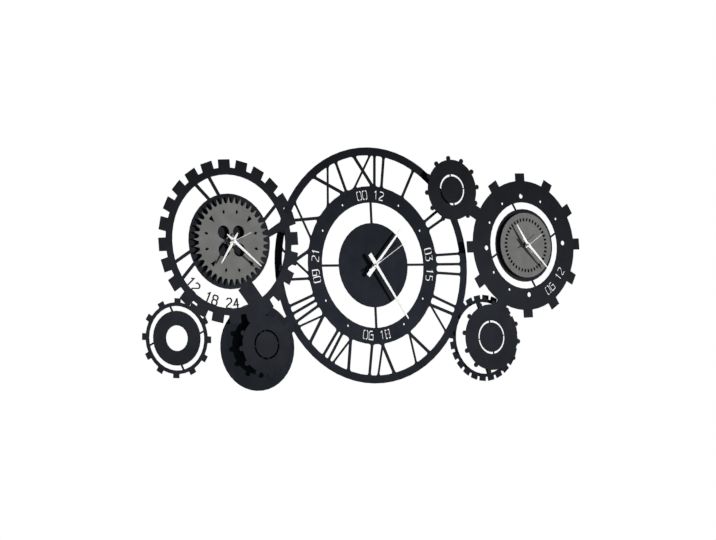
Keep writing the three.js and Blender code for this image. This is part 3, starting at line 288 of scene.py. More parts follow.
# Both black coats get the painted sheen: a painted highlight, lightest at its centre, fading out
# over the reach.
SHEEN_CENTRE = (-0.05, 0, -0.08)
SHEEN_REACH = (1.2, 5, 0.4)
SHEEN_EDGE_SHARE = 0.3
for coat in (shaded_back_coat, lit_front_coat):
    paint_wide_sheen(coat, SHEEN_CENTRE, SHEEN_REACH, SHEEN_EDGE_SHARE)
grey_coat = finish("grey_powder_coat", (0.149, 0.151, 0.146), (0.176, 0.178, 0.173),
                   (0.6, 0.72), 1500, 0.04, gloss=0.02, patch=40)
white_coat = finish("white_lacquer", (0.8, 0.8, 0.785), (0.86, 0.86, 0.85),
                    (0.4, 0.5), 900, 0.015, gloss=0.2, patch=60, edge=0.15)
print("paints:", shaded_back_coat.name, lit_front_coat.name, grey_coat.name, white_coat.name)

# %% [markdown]
# The movements are injection moulded. Black cases come out of a spark-eroded tool, which
# leaves an even matt grain. The wheels and the setting knob are a milky, slippery plastic
# that lets a little light in. Rubber is darker and duller than either.

# %% Plastics and rubber
case_plastic = finish("moulded_black_plastic", (0.011, 0.011, 0.012), (0.017, 0.017, 0.018),
                      (0.42, 0.56), 2600, 0.06, gloss=0.35, patch=70, edge=0.3)
wheel_plastic = finish("milky_wheel_plastic", (0.62, 0.6, 0.54), (0.7, 0.69, 0.64),
                       (0.3, 0.42), 700, 0.01, gloss=0.45, patch=90, edge=0.15)
milky = wheel_plastic.node_tree.nodes["Principled BSDF"].inputs
milky["Subsurface Weight"].default_value = 0.15
milky["Subsurface Scale"].default_value = 1 * MM
foot_rubber = finish("foot_rubber", (0.008, 0.008, 0.008), (0.014, 0.014, 0.014),
                     (0.78, 0.92), 1800, 0.08, gloss=0.2, patch=120, edge=0.4)
print("plastics:", case_plastic.name, wheel_plastic.name, foot_rubber.name)

# %% [markdown]
# Bare metal has no colour of its own under the shine: all its colour is in the
# reflection, so metallic is 1 and the colour bounds are bright. Zinc plating is bluish
# and patchy, black oxide is nearly without colour, and enamelled copper wire is orange.

# %% Metals
zinc = finish("zinc_plating", (0.42, 0.45, 0.5), (0.6, 0.6, 0.58), (0.22, 0.38), 1100, 0.02,
              metallic=1.0, patch=160)
oxide = finish("black_oxide", (0.03, 0.032, 0.036), (0.055, 0.056, 0.06), (0.3, 0.46), 1300, 0.03,
               metallic=0.9, patch=120)
tin = finish("tinned_steel", (0.62, 0.62, 0.6), (0.74, 0.73, 0.7), (0.2, 0.34), 900, 0.01,
             metallic=1.0, patch=140)
copper = finish("enamelled_copper", (0.42, 0.12, 0.04), (0.6, 0.2, 0.07), (0.2, 0.34), 700, 0.02,
                metallic=1.0, patch=200)
print("metals:", zinc.name, oxide.name, tin.name, copper.name)

# %% [markdown]
# A battery's sleeve is shrunk plastic film over a steel can. This one is plain dark
# green with a pale ring near the plus end and carries no words. The ring is placed along
# the cell with Generated coordinates, which run from 0 to 1 over the piece's own box.

# %% Battery sleeve
sleeve = finish("battery_sleeve", (0.02, 0.09, 0.05), (0.03, 0.12, 0.065), (0.22, 0.3), 500, 0.008,
                gloss=0.5, patch=50)
RING_START, RING_END = 0.82, 0.87
RING_COLOUR = (0.7, 0.7, 0.66, 1)
sleeve_tree = sleeve.node_tree
along = sleeve_tree.nodes.new("ShaderNodeTexCoord")
split = sleeve_tree.nodes.new("ShaderNodeSeparateXYZ")
bands = sleeve_tree.nodes.new("ShaderNodeValToRGB")
bands.color_ramp.interpolation = "CONSTANT"
bands.color_ramp.elements[0].color = (0, 0, 0, 1)
bands.color_ramp.elements[1].position = RING_START
bands.color_ramp.elements[1].color = (1, 1, 1, 1)
band_end = bands.color_ramp.elements.new(RING_END)
band_end.color = (0, 0, 0, 1)
ring_mix = sleeve_tree.nodes.new("ShaderNodeMix")
ring_mix.data_type = "RGBA"
ring_mix.inputs["B"].default_value = RING_COLOUR
sleeve_shader = sleeve_tree.nodes["Principled BSDF"]
sleeve_colour = sleeve_shader.inputs["Base Color"].links[0].from_socket
sleeve_tree.links.new(along.outputs["Generated"], split.inputs["Vector"])
sleeve_tree.links.new(split.outputs["X"], bands.inputs["Fac"])
sleeve_tree.links.new(bands.outputs["Color"], ring_mix.inputs["Factor"])
sleeve_tree.links.new(sleeve_colour, ring_mix.inputs["A"])
sleeve_tree.links.new(ring_mix.outputs["Result"], sleeve_shader.inputs["Base Color"])
print("sleeve:", sleeve.name)

# %% [markdown]
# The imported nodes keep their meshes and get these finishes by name. Words in a node's
# name say what it is made of, so one short table dresses all sixty.

# %% Dress the nodes
CLOCKS = ("main", "left", "right")
SIDES = ("left", "right")
FINISH_BY_WORD = (
    ("gear_plate", lit_front_coat), ("_plate", shaded_back_coat),
    ("dial_gear", grey_coat), ("dial_disc", grey_coat),
    ("stud_nut", zinc), ("hanger", oxide), ("wall_foot", foot_rubber), ("washer", foot_rubber),
    ("dial_spacer", case_plastic), ("movement", case_plastic), ("battery", sleeve),
    ("setting_knob", wheel_plastic), ("wheel", wheel_plastic), ("coil", copper),
    ("bush_nut", oxide), ("hand", white_coat),
)

for name, node in nodes.items():
    chosen = next(material for word, material in FINISH_BY_WORD if word in name)
    node.data.materials.clear()
    node.data.materials.append(chosen)
print("dressed", len(nodes), "nodes")

# %% [markdown]
# Moulded cases and the square tube of the hangers have rounded corners that can be seen
# from behind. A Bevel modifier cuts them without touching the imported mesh. It looks at the
# angle between faces, so it skips the flat joints inside a face.

# %% Round the corners of boxes
ROUNDED_ABOVE = math.radians(50)


def round_corners(name, width, segments=3):
    bevel = nodes[name].modifiers.new("corner_rounding", "BEVEL")
    bevel.width = width * MM
    bevel.segments = segments
    bevel.limit_method = "ANGLE"
    bevel.angle_limit = ROUNDED_ABOVE


for clock in CLOCKS:
    round_corners(f"{clock}_movement_case", 0.5)
    round_corners(f"{clock}_movement_lid", 0.3, 2)
for side in SIDES:
    round_corners(f"{side}_hanger", 0.4, 2)
print("rounded the cases, lids and hangers")

# %% [markdown]
# The pieces that follow are turned, moulded or bent, so each is made from a short list of
# rings or rows of points. One helper turns points and faces into a piece: it makes the
# faces look outwards, shades gentle turns smooth and keeps edges over 35 degrees sharp.
# Each piece then rides on the body that carries the real one. Two more helpers write the
# faces: a skin between neighbouring rows, and flat caps on the first and the last row.

# %% A helper for pieces
import bmesh

SMOOTH_UP_TO = math.radians(35)
pieces = {}


def piece(name, points, faces, material, body, stands_for=None):
    mesh = bpy.data.meshes.new(name)
    mesh.from_pydata([tuple(point) for point in points], [], faces)
    shell = bmesh.new()
    shell.from_mesh(mesh)
    bmesh.ops.recalc_face_normals(shell, faces=shell.faces)
    shell.to_mesh(mesh)
    shell.free()
    mesh.polygons.foreach_set("use_smooth", [True] * len(mesh.polygons))
    mesh.set_sharp_from_angle(angle=SMOOTH_UP_TO)
    mesh.materials.append(material)
    made = bpy.data.objects.new(name, mesh)
    bpy.context.collection.objects.link(made)
    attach(made, body)
    if stands_for:
        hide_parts(stands_for)
    pieces[name] = made
    return made


def skin(rows, count, looped=False):
    """Four-sided faces between rows of points. Each row closes on itself."""
    faces = []
    for row in range(rows if looped else rows - 1):
        here, there = row * count, (row + 1) % rows * count
        for k in range(count):
            after = (k + 1) % count
            faces.append((here + k, here + after, there + after, there + k))
    return faces


def caps(rows, count):
    """The first and the last row as flat faces."""
    last = (rows - 1) * count
    return [tuple(range(count)), tuple(range(last, last + count))]


def centre_of(node):
    low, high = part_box(node)
    return (low + high) / 2


# %% [markdown]
# A lathe turns a line around an axis. Here the line is a list of (radius, place along the
# axis), in metres, and every row becomes one ring of points. A line that runs back to its
# start makes a ring without caps, and any other line gets a flat cap at both ends. The same
# grid with a radius that changes around the axis also makes knurls and wavy welds. Most
# clock parts point along Y; the battery lies along X.

# %% A helper for turned parts
def around_y(centre, radius, angle, along):
    return (centre.x + radius * math.cos(angle), along, centre.z + radius * math.sin(angle))


def around_x(centre, radius, angle, along):
    return (along, centre.y + radius * math.cos(angle), centre.z + radius * math.sin(angle))


def turned(centre, line, segments=64, place=around_y, shape=None, closed=True):
    """Rings of points around an axis; shape(row, angle) may scale a ring's radius."""
    points = []
    for row, (radius, along) in enumerate(line):
        for step in range(segments):
            angle = math.tau * step / segments
            factor = shape(row, angle) if shape else 1.0
            points.append(place(centre, radius * factor, angle, along))
    faces = skin(len(line), segments, closed)
    return points, faces if closed else faces + caps(len(line), segments)


def joined(*parts):
    """Several closed shells become the points and faces of one piece."""
    points, faces = [], []
    for some_points, some_faces in parts:
        start = len(points)
        faces += [tuple(index + start for index in face) for face in some_faces]
        points += some_points
    return points, faces


# %% [markdown]
# A hexagon nut is pressed and then turned, so its corners are cut back by a cone on the
# side that meets the spanner first. In a grid around the axis the hexagon is only a radius
# that changes with the angle: half the width over flats, divided by the cosine of the
# angle from the nearest flat. The cone then lowers each point by how far it stands out.

# %% Hexagon nuts
NUT_STEPS = 72
NUT_RINGS = 6
CHAMFER_SLOPE = math.tan(math.radians(30))
CONE_SHARE = 0.96
NUT_LIP = 0.4 * MM
BUSH_NUT_BORE = 4.15 * MM
STUD_NUT_BORE = 2.5 * MM


def hexagon_radius(angle, half_flat):
    from_flat = (angle + math.pi / 6) % (math.pi / 3) - math.pi / 6
    return half_flat / math.cos(from_flat)


def hex_nut(name, node, bore, material, face_side):
    """face_side is -1 where the chamfered face looks at the viewer, 1 at the wall."""
    low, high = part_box(node)
    centre = (low + high) / 2
    half_flat = (high.x - low.x) / 2
    front, back = (low.y, high.y) if face_side < 0 else (high.y, low.y)
    inward = 1 if face_side < 0 else -1
    cone = half_flat * CONE_SHARE
    points = []
    for step in range(NUT_STEPS):
        angle = math.tau * step / NUT_STEPS
        outer = hexagon_radius(angle, half_flat)
        drop = (outer - cone) * CHAMFER_SLOPE
        rings = ((bore, back), (outer, back), (outer, front + inward * drop), (cone, front),
                 (bore + NUT_LIP, front), (bore, front + inward * NUT_LIP))
        points += [around_y(centre, radius, angle, along) for radius, along in rings]
    faces = skin(NUT_STEPS, NUT_RINGS, looped=True)
    return piece(name, points, faces, material, "frame", node)


for clock in CLOCKS:
    hex_nut(f"{clock}_bush_nut_turned", f"{clock}_bush_nut", BUSH_NUT_BORE, oxide,
            -1)
stud_nuts = [name for name in nodes if "stud_nut" in name]
for name in stud_nuts:
    hex_nut(f"{name}_turned", name, STUD_NUT_BORE, zinc, 1)
print("nuts:", len(CLOCKS) + len(stud_nuts))

# %% [markdown]
# A thread is a V-shaped groove on a helix. A finer grid of its own makes it: the radius
# depends on how far the point lies along the axis, less the part of a turn that its angle
# stands for, so the groove climbs by one pitch per turn. Both ends are turned down a
# little, as on a bolt.

# %% Threads on the studs and on the bushes
THREAD_SEGMENTS = 48
ROWS_PER_PITCH = 8
LEAD_IN = 0.6


def thread(centre, radius, depth, pitch, start, end, bore=0.0):
    """A threaded rod, or a tube where bore is above 0, from start to end along Y."""
    rows = max(ROWS_PER_PITCH, int(abs(end - start) / pitch * ROWS_PER_PITCH))
    points = []
    for row in range(rows + 1):
        along = start + (end - start) * row / rows
        to_end = min(row, rows - row) / rows * abs(end - start)
        cut = min(1.0, to_end / (LEAD_IN * pitch))
        for step in range(THREAD_SEGMENTS):
            angle = math.tau * step / THREAD_SEGMENTS
            turns = abs(along - start) / pitch - angle / math.tau
            crest = abs((turns % 1.0) * 2 - 1)
            deep = depth * (1 - crest * cut)
            points.append(around_y(centre, radius - deep, angle, along))
    faces = skin(rows + 1, THREAD_SEGMENTS)
    if bore == 0:
        return points, faces + caps(rows + 1, THREAD_SEGMENTS)
    last = rows * THREAD_SEGMENTS
    inner = len(points)
    for along in (start, end):
        points += [around_y(centre, bore, math.tau * step / THREAD_SEGMENTS, along)
                   for step in range(THREAD_SEGMENTS)]
    for step in range(THREAD_SEGMENTS):
        after = (step + 1) % THREAD_SEGMENTS
        far = inner + THREAD_SEGMENTS
        faces += [(inner + step, inner + after, far + after, far + step),
                  (step, after, inner + after, inner + step),
                  (last + step, last + after, far + after, far + step)]
    return points, faces


STUD_THREAD_RADIUS = 2.46 * MM
STUD_THREAD_DEPTH, STUD_PITCH = 0.3 * MM, 0.8 * MM
STUD_INSIDE_NUT = 0.5 * MM
STUD_BEYOND_NUT = 1.5 * MM
STUD_TIP = 0.05 * MM
for name in stud_nuts:
    low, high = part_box(name)
    middle = (low + high) / 2
    points, faces = thread(middle, STUD_THREAD_RADIUS, STUD_THREAD_DEPTH, STUD_PITCH,
                           low.y + STUD_INSIDE_NUT, high.y + STUD_BEYOND_NUT + STUD_TIP)
    piece(name.replace("nut", "thread"), points, faces, zinc, "frame")

BUSH_THREAD_RADIUS = 4.08 * MM
BUSH_THREAD_DEPTH, BUSH_PITCH = 0.25 * MM, 0.75 * MM
BUSH_BEYOND_NUT = 0.62 * MM
BUSH_BORE = 3.1 * MM
for clock in CLOCKS:
    low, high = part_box(f"{clock}_bush_nut")
    middle = (low + high) / 2
    points, faces = thread(middle, BUSH_THREAD_RADIUS, BUSH_THREAD_DEPTH, BUSH_PITCH,
                           low.y - BUSH_BEYOND_NUT, high.y, BUSH_BORE)
    piece(f"{clock}_bush_thread", points, faces, tin, "frame")
print("threads:", len(stud_nuts) + len(CLOCKS))

# %% [markdown]
# The hands are stamped from thin aluminium and lacquered white. A stamped edge is never
# quite sharp, and the narrow hands of the side dials are pressed up a little along their
# middle, which stiffens them and draws the bright line seen along them. So a blade is a
# bar with a seven-point cross-section: two sides, two small bevels and a middle line.
# Tail and blade have their own widths, and a round hub covers the place where they meet.

# %% Blades and hubs
EDGE = 0.15 * MM
HAND_THICKNESS = 0.8 * MM
SECTION_POINTS = 7
HUB_FRONT_RISE, HUB_BACK_RISE = 0.12 * MM, 0.08 * MM
DOME_PROFILE = ((1.0, 0.1), (1.0, -0.15), (0.94, -0.35), (0.78, -0.52), (0.5, -0.64), (0.2, -0.7))


def blade(pivot, angle, start, end, width, end_width, front, rise):
    """A bar from start to end along a heading; angle runs clockwise from twelve."""
    heading = Vector((math.sin(math.radians(angle)), 0, math.cos(math.radians(angle))))
    across = Vector((heading.z, 0, -heading.x))
    back = front + HAND_THICKNESS
    shrink = EDGE if end > start else -EDGE
    stations = ((start, 0.0), (end - shrink, 0.0), (end, EDGE))
    points = []
    for along, lowered in stations:
        share = (along - start) / (end - start)
        half = (width + (end_width - width) * share) / 2
        section = ((-half, back), (-half, front + EDGE + lowered), (-half + EDGE, front + lowered),
                   (0.0, front - rise + lowered), (half - EDGE, front + lowered),
                   (half, front + EDGE + lowered), (half, back))
        for aside, depth in section:
            place = pivot + heading * along + across * aside
            points.append((place.x, depth, place.z))
    rows = len(stations)
    return points, caps(rows, SECTION_POINTS) + skin(rows, SECTION_POINTS)


def hub(pivot, radius, bore, front):
    back = front + HAND_THICKNESS + HUB_BACK_RISE
    top = front - HUB_FRONT_RISE
    line = ((bore, back), (radius, back), (radius, top + EDGE), (radius - EDGE, top),
            (bore + EDGE, top), (bore, top + EDGE))
    return turned(pivot, line)


def dome(pivot, radius, front):
    line = [(radius * share, front + depth * MM) for share, depth in DOME_PROFILE]
    return turned(pivot, line, closed=False)


# %% [markdown]
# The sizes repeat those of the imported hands, so the fine hand covers the plain one. Each
# hand rides on its own body: the hour hand turns with the hour wheel, and so on. The
# second hand's hub is closed by a small dome, which hides the end of its arbor. Blade and
# tail start just outside the bore, inside the hub's ring, so the arbors pass freely.
# A row of sizes holds the heading in degrees clockwise from twelve, then in millimetres the
# length, the tail, the blade's width at the hub and at its tip, the same two widths of the
# tail, and how far the middle is pressed up. A hub has a radius and a bore.

# %% The nine hands
HAND_SIZES = {
    ("main", "hour"): (43.1, 104, 31, 6.6, 3.8, 9.5, 9.5, 0.0),
    ("main", "minute"): (145.9, 139, 28, 7.0, 3.4, 9.5, 9.5, 0.0),
    ("main", "second"): (58.8, 92, 24, 1.2, 1.2, 3.6, 3.6, 0.0),
    ("left", "hour"): (214.6, 54.6, 19.4, 6.6, 2.4, 6.6, 2.4, 0.25),
    ("left", "minute"): (129.5, 81.7, 20.5, 6.4, 2.4, 6.4, 2.4, 0.25),
    ("left", "second"): (68.0, 45, 12, 1.0, 1.0, 2.4, 2.4, 0.0),
    ("right", "hour"): (327.2, 53.6, 19.4, 6.6, 2.4, 6.6, 2.4, 0.25),
    ("right", "minute"): (135.0, 73.5, 20.5, 6.4, 2.4, 6.4, 2.4, 0.25),
    ("right", "second"): (58.0, 45, 12, 1.0, 1.0, 2.4, 2.4, 0.0),
}
HUB_SIZES = {"hour": (4.8, 3.1), "minute": (4.8, 2.0), "second": (2.8, 0.9)}
BORE_LAND = 0.05

for (clock, kind), hand in HAND_SIZES.items():
    angle, length, tail, width, tip, tail_width, tail_tip, rise = hand
    pivot = centre_of(f"{clock}_bush_nut")
    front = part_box(f"{clock}_{kind}_hand")[0].y
    radius, bore = HUB_SIZES[kind]
    inner = (bore + BORE_LAND) * MM
    parts = [
        blade(pivot, angle, inner, length * MM, width * MM, tip * MM, front, rise * MM),
        blade(pivot, angle, -inner, -tail * MM, tail_width * MM, tail_tip * MM, front, rise * MM),
        hub(pivot, radius * MM, bore * MM, front),
    ]
    if kind == "second":
        parts.append(dome(pivot, radius * MM, front))
    points, faces = joined(*parts)
    piece(f"{clock}_{kind}_hand_stamped", points, faces, white_coat, f"{clock}_{kind}",
          f"{clock}_{kind}_hand")
print("hands:", len(HAND_SIZES))

# %% [markdown]
# The cell is a steel can in a shrunk sleeve. The sleeve folds over both shoulders and
# leaves the bright ends bare: a flat plate at one end, a raised nub at the other. Each is
# a turned piece along X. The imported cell's outline has a corner at its top, so its middle
# lies one radius below the top of its box.

# %% Batteries
BATTERY_RADIUS = 7.1 * MM
NUB_LENGTH = 1.4 * MM


def cell(clock):
    """The box of a packed cell, and a point on its axis."""
    low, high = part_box(f"{clock}_battery")
    return low, high, Vector((0, (low.y + high.y) / 2, high.z - BATTERY_RADIUS))


for clock in CLOCKS:
    low, high, axis = cell(clock)
    start, end = low.x, high.x - NUB_LENGTH
    sleeve_line = ((5.9 * MM, start + 0.25 * MM), (6.7 * MM, start + 0.1 * MM),
                   (BATTERY_RADIUS, start + 0.6 * MM), (BATTERY_RADIUS, end - 0.7 * MM),
                   (6.7 * MM, end - 0.15 * MM), (5.3 * MM, end - 0.05 * MM))
    points, faces = turned(axis, sleeve_line, place=around_x, closed=False)
    piece(f"{clock}_battery_sleeve", points, faces, sleeve, "frame",
          f"{clock}_battery")
    plate = turned(axis, ((5.8 * MM, start + 0.4 * MM), (5.8 * MM, start + 0.12 * MM),
                          (5.2 * MM, start)), place=around_x, closed=False)
    nub = turned(axis, ((5.2 * MM, end - 0.2 * MM), (5.1 * MM, end), (3.1 * MM, end + 0.1 * MM),
                        (2.7 * MM, end + 0.35 * MM), (2.7 * MM, high.x - 0.25 * MM),
                        (2.4 * MM, high.x)), place=around_x, closed=False)
    points, faces = joined(plate, nub)
    piece(f"{clock}_battery_ends", points, faces, tin, "frame")
print("batteries:", len(CLOCKS))

# %% [markdown]
# The cell is held between two contacts: a spiral of spring wire at the flat end and a
# folded strip at the nub. A wire is a row of rings that follow a path, each ring square
# to the path. Here the path is a flat spiral, so the ring's two directions are easy: one
# is the axis of the cell and the other points away from it.

# %% Battery contacts
WIRE_RADIUS = 0.2 * MM
WIRE_SIDES = 8
SPIRAL_TURNS, SPIRAL_STEPS = 2.75, 88


def flat_spiral(centre, along, inner, outer, turns, steps):
    points = []
    for step in range(steps + 1):
        share = step / steps
        angle = share * turns * math.tau
        radius = outer + (inner - outer) * share
        outward = Vector((0, math.cos(angle), math.sin(angle)))
        middle = Vector((along, centre.y, centre.z)) + outward * radius
        for side in range(WIRE_SIDES):
            lean = math.tau * side / WIRE_SIDES
            offset = outward * math.cos(lean) + Vector((1, 0, 0)) * math.sin(lean)
            points.append(tuple(middle + offset * WIRE_RADIUS))
    return points, skin(steps + 1, WIRE_SIDES) + caps(steps + 1, WIRE_SIDES)


def strip(outline, start, end):
    """An outline in X and Y, drawn as a list of points, stretched along Z."""
    points = [(x, y, z) for z in (start, end) for x, y in outline]
    return points, caps(2, len(outline)) + skin(2, len(outline))


SHEET_TIN = 0.25 * MM
STRIP_GAP, STRIP_HALF = 0.65 * MM, 3.5 * MM
for clock in CLOCKS:
    low, high, axis = cell(clock)
    points, faces = flat_spiral(axis, along=low.x - 0.3 * MM, inner=1.2 * MM, outer=4.8 * MM,
                                turns=SPIRAL_TURNS, steps=SPIRAL_STEPS)
    piece(f"{clock}_battery_spring", points, faces, tin, "frame")
    wall = high.x + STRIP_GAP
    outline = [(wall, axis.y - 5 * MM), (wall, axis.y + 5.5 * MM),
               (wall - 0.3 * MM, axis.y + 5.9 * MM),
               (wall - 0.3 * MM - SHEET_TIN, axis.y + 5.9 * MM),
               (wall - SHEET_TIN, axis.y + 5.4 * MM), (wall - SHEET_TIN, axis.y - 5 * MM)]
    points, faces = strip(outline, axis.z - STRIP_HALF, axis.z + STRIP_HALF)
    piece(f"{clock}_battery_strip", points, faces, tin, "frame")
print("contacts:", 2 * len(CLOCKS))

# %% [markdown]
# The setting knob sticks out of the lid so that a thumb can turn the hands. Its rim is
# knurled: the radius dips forty times around. The top is dished, as moulded knobs are, so
# that it shrinks evenly. It rides on the setting body, which the minute hand drives.

# %% Setting knobs
KNURLS = 40
KNURL_DEPTH = 0.045
KNURLED_ROWS = (4, 5)
KNOB_HEAD = 2.6 * MM


def knurled(row, angle):
    if row not in KNURLED_ROWS:
        return 1.0
    return 1 - KNURL_DEPTH * abs(math.sin(angle * KNURLS / 2))


for clock in CLOCKS:
    low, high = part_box(f"{clock}_setting_knob")
    middle = (low + high) / 2
    head = high.y - KNOB_HEAD
    line = ((0.85 * MM, low.y), (1.0 * MM, low.y + 0.2 * MM), (1.0 * MM, head), (5.0 * MM, head),
            (5.4 * MM, head + 0.35 * MM), (5.4 * MM, high.y - 0.5 * MM),
            (4.9 * MM, high.y - 0.1 * MM), (4.3 * MM, high.y), (3.9 * MM, high.y - 0.15 * MM),
            (3.4 * MM, high.y - 0.6 * MM))
    points, faces = turned(middle, line, 160, shape=knurled, closed=False)
    piece(f"{clock}_setting_knob_knurled", points, faces, wheel_plastic, f"{clock}_setting",
          f"{clock}_setting_knob")
print("knobs:", len(CLOCKS))

# %% [markdown]
# Rubber feet slip over the ends of the posts and keep the steel off the wall. They are
# turned cups with two grip grooves and a dished sole. The posts and the studs between the
# sheets are round bar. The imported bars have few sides, so a smooth sleeve, a twentieth of
# a millimetre larger, covers each one and flares into a weld where it meets its sheet.

# %% Feet, posts and studs
FOOT_RADIUS = 7 * MM
BAR_RADIUS = 4.55 * MM
WELD_REACH = 1.1 * MM
WELD_ROWS = (2, 3)
WELD_WAVE = 0.035
SHEET_THICKNESS = 2 * MM
SPACER_AND_SHEET = 5.7 * MM
HANGER_GAP = 0.3 * MM
POST_END = -3.32 * MM
STUD_BAR_GAP = 0.28 * MM
FRONT_SHEET_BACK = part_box("left_dial_spacer")[0].y + SPACER_AND_SHEET
MAIN_SHEET_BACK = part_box("left_hanger")[0].y - HANGER_GAP
MAIN_SHEET_FRONT = MAIN_SHEET_BACK - SHEET_THICKNESS


def welded_bar(name, centre, sheet, end):
    """A round bar that stands on a sheet's back and ends at another depth."""
    def wavy(row, angle):
        if row not in WELD_ROWS:
            return 1.0
        return 1 + WELD_WAVE * math.sin(angle * 9) * math.sin(angle * 4 + 1)

    line = ((BAR_RADIUS, end), (BAR_RADIUS, sheet + WELD_REACH),
            (BAR_RADIUS + 0.35 * MM, sheet + WELD_REACH * 0.45),
            (BAR_RADIUS + 1.2 * MM, sheet - 0.02 * MM))
    points, faces = turned(centre, line, shape=wavy, closed=False)
    return piece(name, points, faces, lit_front_coat, "frame")


POST_SHEETS = {"centre": MAIN_SHEET_BACK, "left": FRONT_SHEET_BACK, "right": FRONT_SHEET_BACK}
for side, sheet in POST_SHEETS.items():
    low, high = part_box(f"{side}_wall_foot")
    middle = Vector(((low.x + high.x) / 2, 0, high.z - FOOT_RADIUS))
    line = ((4.8 * MM, -3 * MM), (4.8 * MM, low.y), (6.6 * MM, low.y),
            (FOOT_RADIUS, low.y + 0.4 * MM), (FOOT_RADIUS, -6.4 * MM), (6.7 * MM, -6.1 * MM),
            (6.7 * MM, -5.7 * MM), (FOOT_RADIUS, -5.4 * MM), (FOOT_RADIUS, -4 * MM),
            (6.7 * MM, -3.7 * MM), (6.7 * MM, -3.3 * MM), (FOOT_RADIUS, -3 * MM),
            (FOOT_RADIUS, -0.7 * MM), (6.3 * MM, 0), (3.2 * MM, 0), (2.4 * MM, -0.4 * MM))
    points, faces = turned(middle, line, closed=False)
    piece(f"{side}_wall_foot_turned", points, faces, foot_rubber, "frame",
          f"{side}_wall_foot")
    welded_bar(f"{side}_post_bar", middle, sheet, POST_END)
for name in stud_nuts:
    welded_bar(name.replace("nut", "bar"), centre_of(name), FRONT_SHEET_BACK,
               MAIN_SHEET_FRONT - STUD_BAR_GAP)
print("feet:", len(POST_SHEETS), "bars:", len(POST_SHEETS) + len(stud_nuts))

# %% [markdown]
# The hangers are welded to the large sheet along both sides. A weld bead is a row of
# frozen ripples, so its cross-section, a quarter round, swells and shrinks along its
# length.

# %% Weld beads at the hangers
BEAD_STEPS = 60
BEAD_SIDES = 6
BEAD_LENGTH, BEAD_RADIUS = 15 * MM, 1.5 * MM
BEAD_SWELL = 0.12
BEAD_HALF_WAVES = 30
BEAD_START, BEAD_TAPER = 0.25, 12


def bead(corner, outward, length, radius):
    points = []
    for step in range(BEAD_STEPS + 1):
        share = step / BEAD_STEPS
        ends = min(1.0, min(share, 1 - share) * BEAD_TAPER + BEAD_START)
        swell = radius * ends * (1 + BEAD_SWELL * math.sin(share * BEAD_HALF_WAVES * math.pi))
        height = corner.z + (share - 0.5) * length
        points.append((corner.x - outward * 0.2 * MM, corner.y - 0.1 * MM, height))
        for side in range(BEAD_SIDES + 1):
            lean = math.pi / 2 * side / BEAD_SIDES
            points.append((corner.x + outward * swell * math.cos(lean),
                           corner.y - 0.05 * MM + swell * math.sin(lean), height))
    rows, count = BEAD_STEPS + 1, BEAD_SIDES + 2
    return points, skin(rows, count) + caps(rows, count)


for side in SIDES:
    low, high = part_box(f"{side}_hanger")
    level = (low.z + high.z) / 2
    beads = [bead(Vector((edge, MAIN_SHEET_BACK, level)), outward, BEAD_LENGTH, BEAD_RADIUS)
             for edge, outward in ((low.x, -1), (high.x, 1))]
    points, faces = joined(*beads)
    piece(f"{side}_hanger_welds", points, faces, shaded_back_coat, "frame")
print("weld beads:", len(beads) * len(SIDES))

# %% [markdown]
# The back of a movement is never a plain box: the lid carries a raised frame that stiffens
# it, an arrow beside the knob that shows which way to turn, and hooks of the case snap
# over its edges. Frame and arrow are flat outlines pulled out by about half a millimetre,
# and a hook is its own side view stretched along the edge. A small Bevel modifier takes
# the sharpness off them.

# %% Relief on the movements
FRAME_INSET, FRAME_WIDTH = 3 * MM, 1.4 * MM
ARROW_RADIUS, ARROW_WIDTH = 8 * MM, 1.1 * MM
ARROW_START, ARROW_END = math.radians(-60), math.radians(75)
ARROW_HEAD = math.radians(22)
ARROW_STEPS = 24
HOOK_INSET, HOOK_HALF = 9 * MM, 2.5 * MM
RELIEF_SUNK, RELIEF_RISE = 0.1 * MM, 0.45 * MM


def raised(outlines, low, high):
    """Outlines in X and Z, each a closed row of points, become low slabs along Y."""
    shells = []
    for outline in outlines:
        points = [(x, y, z) for y in (low, high) for x, z in outline]
        shells.append((points, caps(2, len(outline)) + skin(2, len(outline))))
    return joined(*shells)


def soften(made, width):
    bevel = made.modifiers.new("soft_edges", "BEVEL")
    bevel.width = width * MM
    bevel.segments = 2
    bevel.limit_method = "ANGLE"


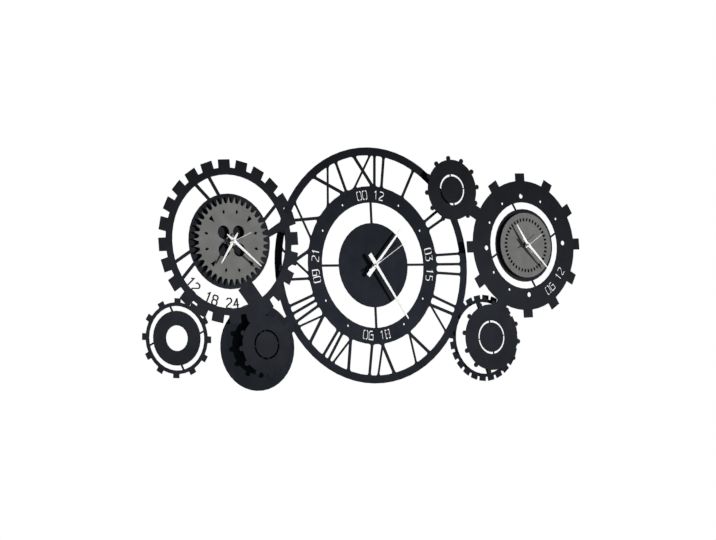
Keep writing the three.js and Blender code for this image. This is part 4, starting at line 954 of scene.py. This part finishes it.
def arc_arrow(centre, radius, width, start, end):
    """An arrow that bends around a centre; its head takes the last part of the turn."""
    def spot(angle, reach):
        return centre.x + reach * math.sin(angle), centre.z + reach * math.cos(angle)

    neck = end - math.copysign(ARROW_HEAD, end - start)
    sweep = [start + (neck - start) * k / ARROW_STEPS for k in range(ARROW_STEPS + 1)]
    outer = [spot(angle, radius + width / 2) for angle in sweep]
    inner = [spot(angle, radius - width / 2) for angle in reversed(sweep)]
    head = [spot(neck, radius + width * 1.5), spot(end, radius), spot(neck, radius - width * 1.5)]
    return outer + head + inner


for clock in CLOCKS:
    low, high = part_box(f"{clock}_movement_lid")
    x0, x1 = low.x + FRAME_INSET, high.x - FRAME_INSET
    z0, z1 = low.z + FRAME_INSET, high.z - FRAME_INSET
    wide = FRAME_WIDTH
    bars = [
        [(x0, z0), (x1, z0), (x1 - wide, z0 + wide), (x0 + wide, z0 + wide)],
        [(x1, z0), (x1, z1), (x1 - wide, z1 - wide), (x1 - wide, z0 + wide)],
        [(x1, z1), (x0, z1), (x0 + wide, z1 - wide), (x1 - wide, z1 - wide)],
        [(x0, z1), (x0, z0), (x0 + wide, z0 + wide), (x0 + wide, z1 - wide)],
    ]
    knob = centre_of(f"{clock}_setting_knob")
    arrow = arc_arrow(knob, ARROW_RADIUS, ARROW_WIDTH, ARROW_START, ARROW_END)
    points, faces = raised(bars + [arrow], high.y - RELIEF_SUNK, high.y + RELIEF_RISE)
    relief = piece(f"{clock}_lid_relief", points, faces, case_plastic, "frame")
    soften(relief, 0.12)
    hooks = []
    for edge, outward in ((low.x, -1), (high.x, 1)):
        for level in (low.z + HOOK_INSET, high.z - HOOK_INSET):
            profile = [(edge - outward * 0.9 * MM, high.y + 0.6 * MM),
                       (edge + outward * 0.5 * MM, high.y + 0.6 * MM),
                       (edge + outward * 0.9 * MM, high.y - 0.4 * MM),
                       (edge + outward * 0.9 * MM, high.y - 7 * MM),
                       (edge - outward * 0.1 * MM, high.y - 7.8 * MM),
                       (edge - outward * 0.1 * MM, high.y + 0.02 * MM),
                       (edge - outward * 0.9 * MM, high.y + 0.02 * MM)]
            hooks.append(strip(profile, level - HOOK_HALF, level + HOOK_HALF))
    points, faces = joined(*hooks)
    snaps = piece(f"{clock}_case_hooks", points, faces, case_plastic, "frame")
    soften(snaps, 0.15)
print("movements with relief:", len(CLOCKS))
print("pieces made:", len(pieces))
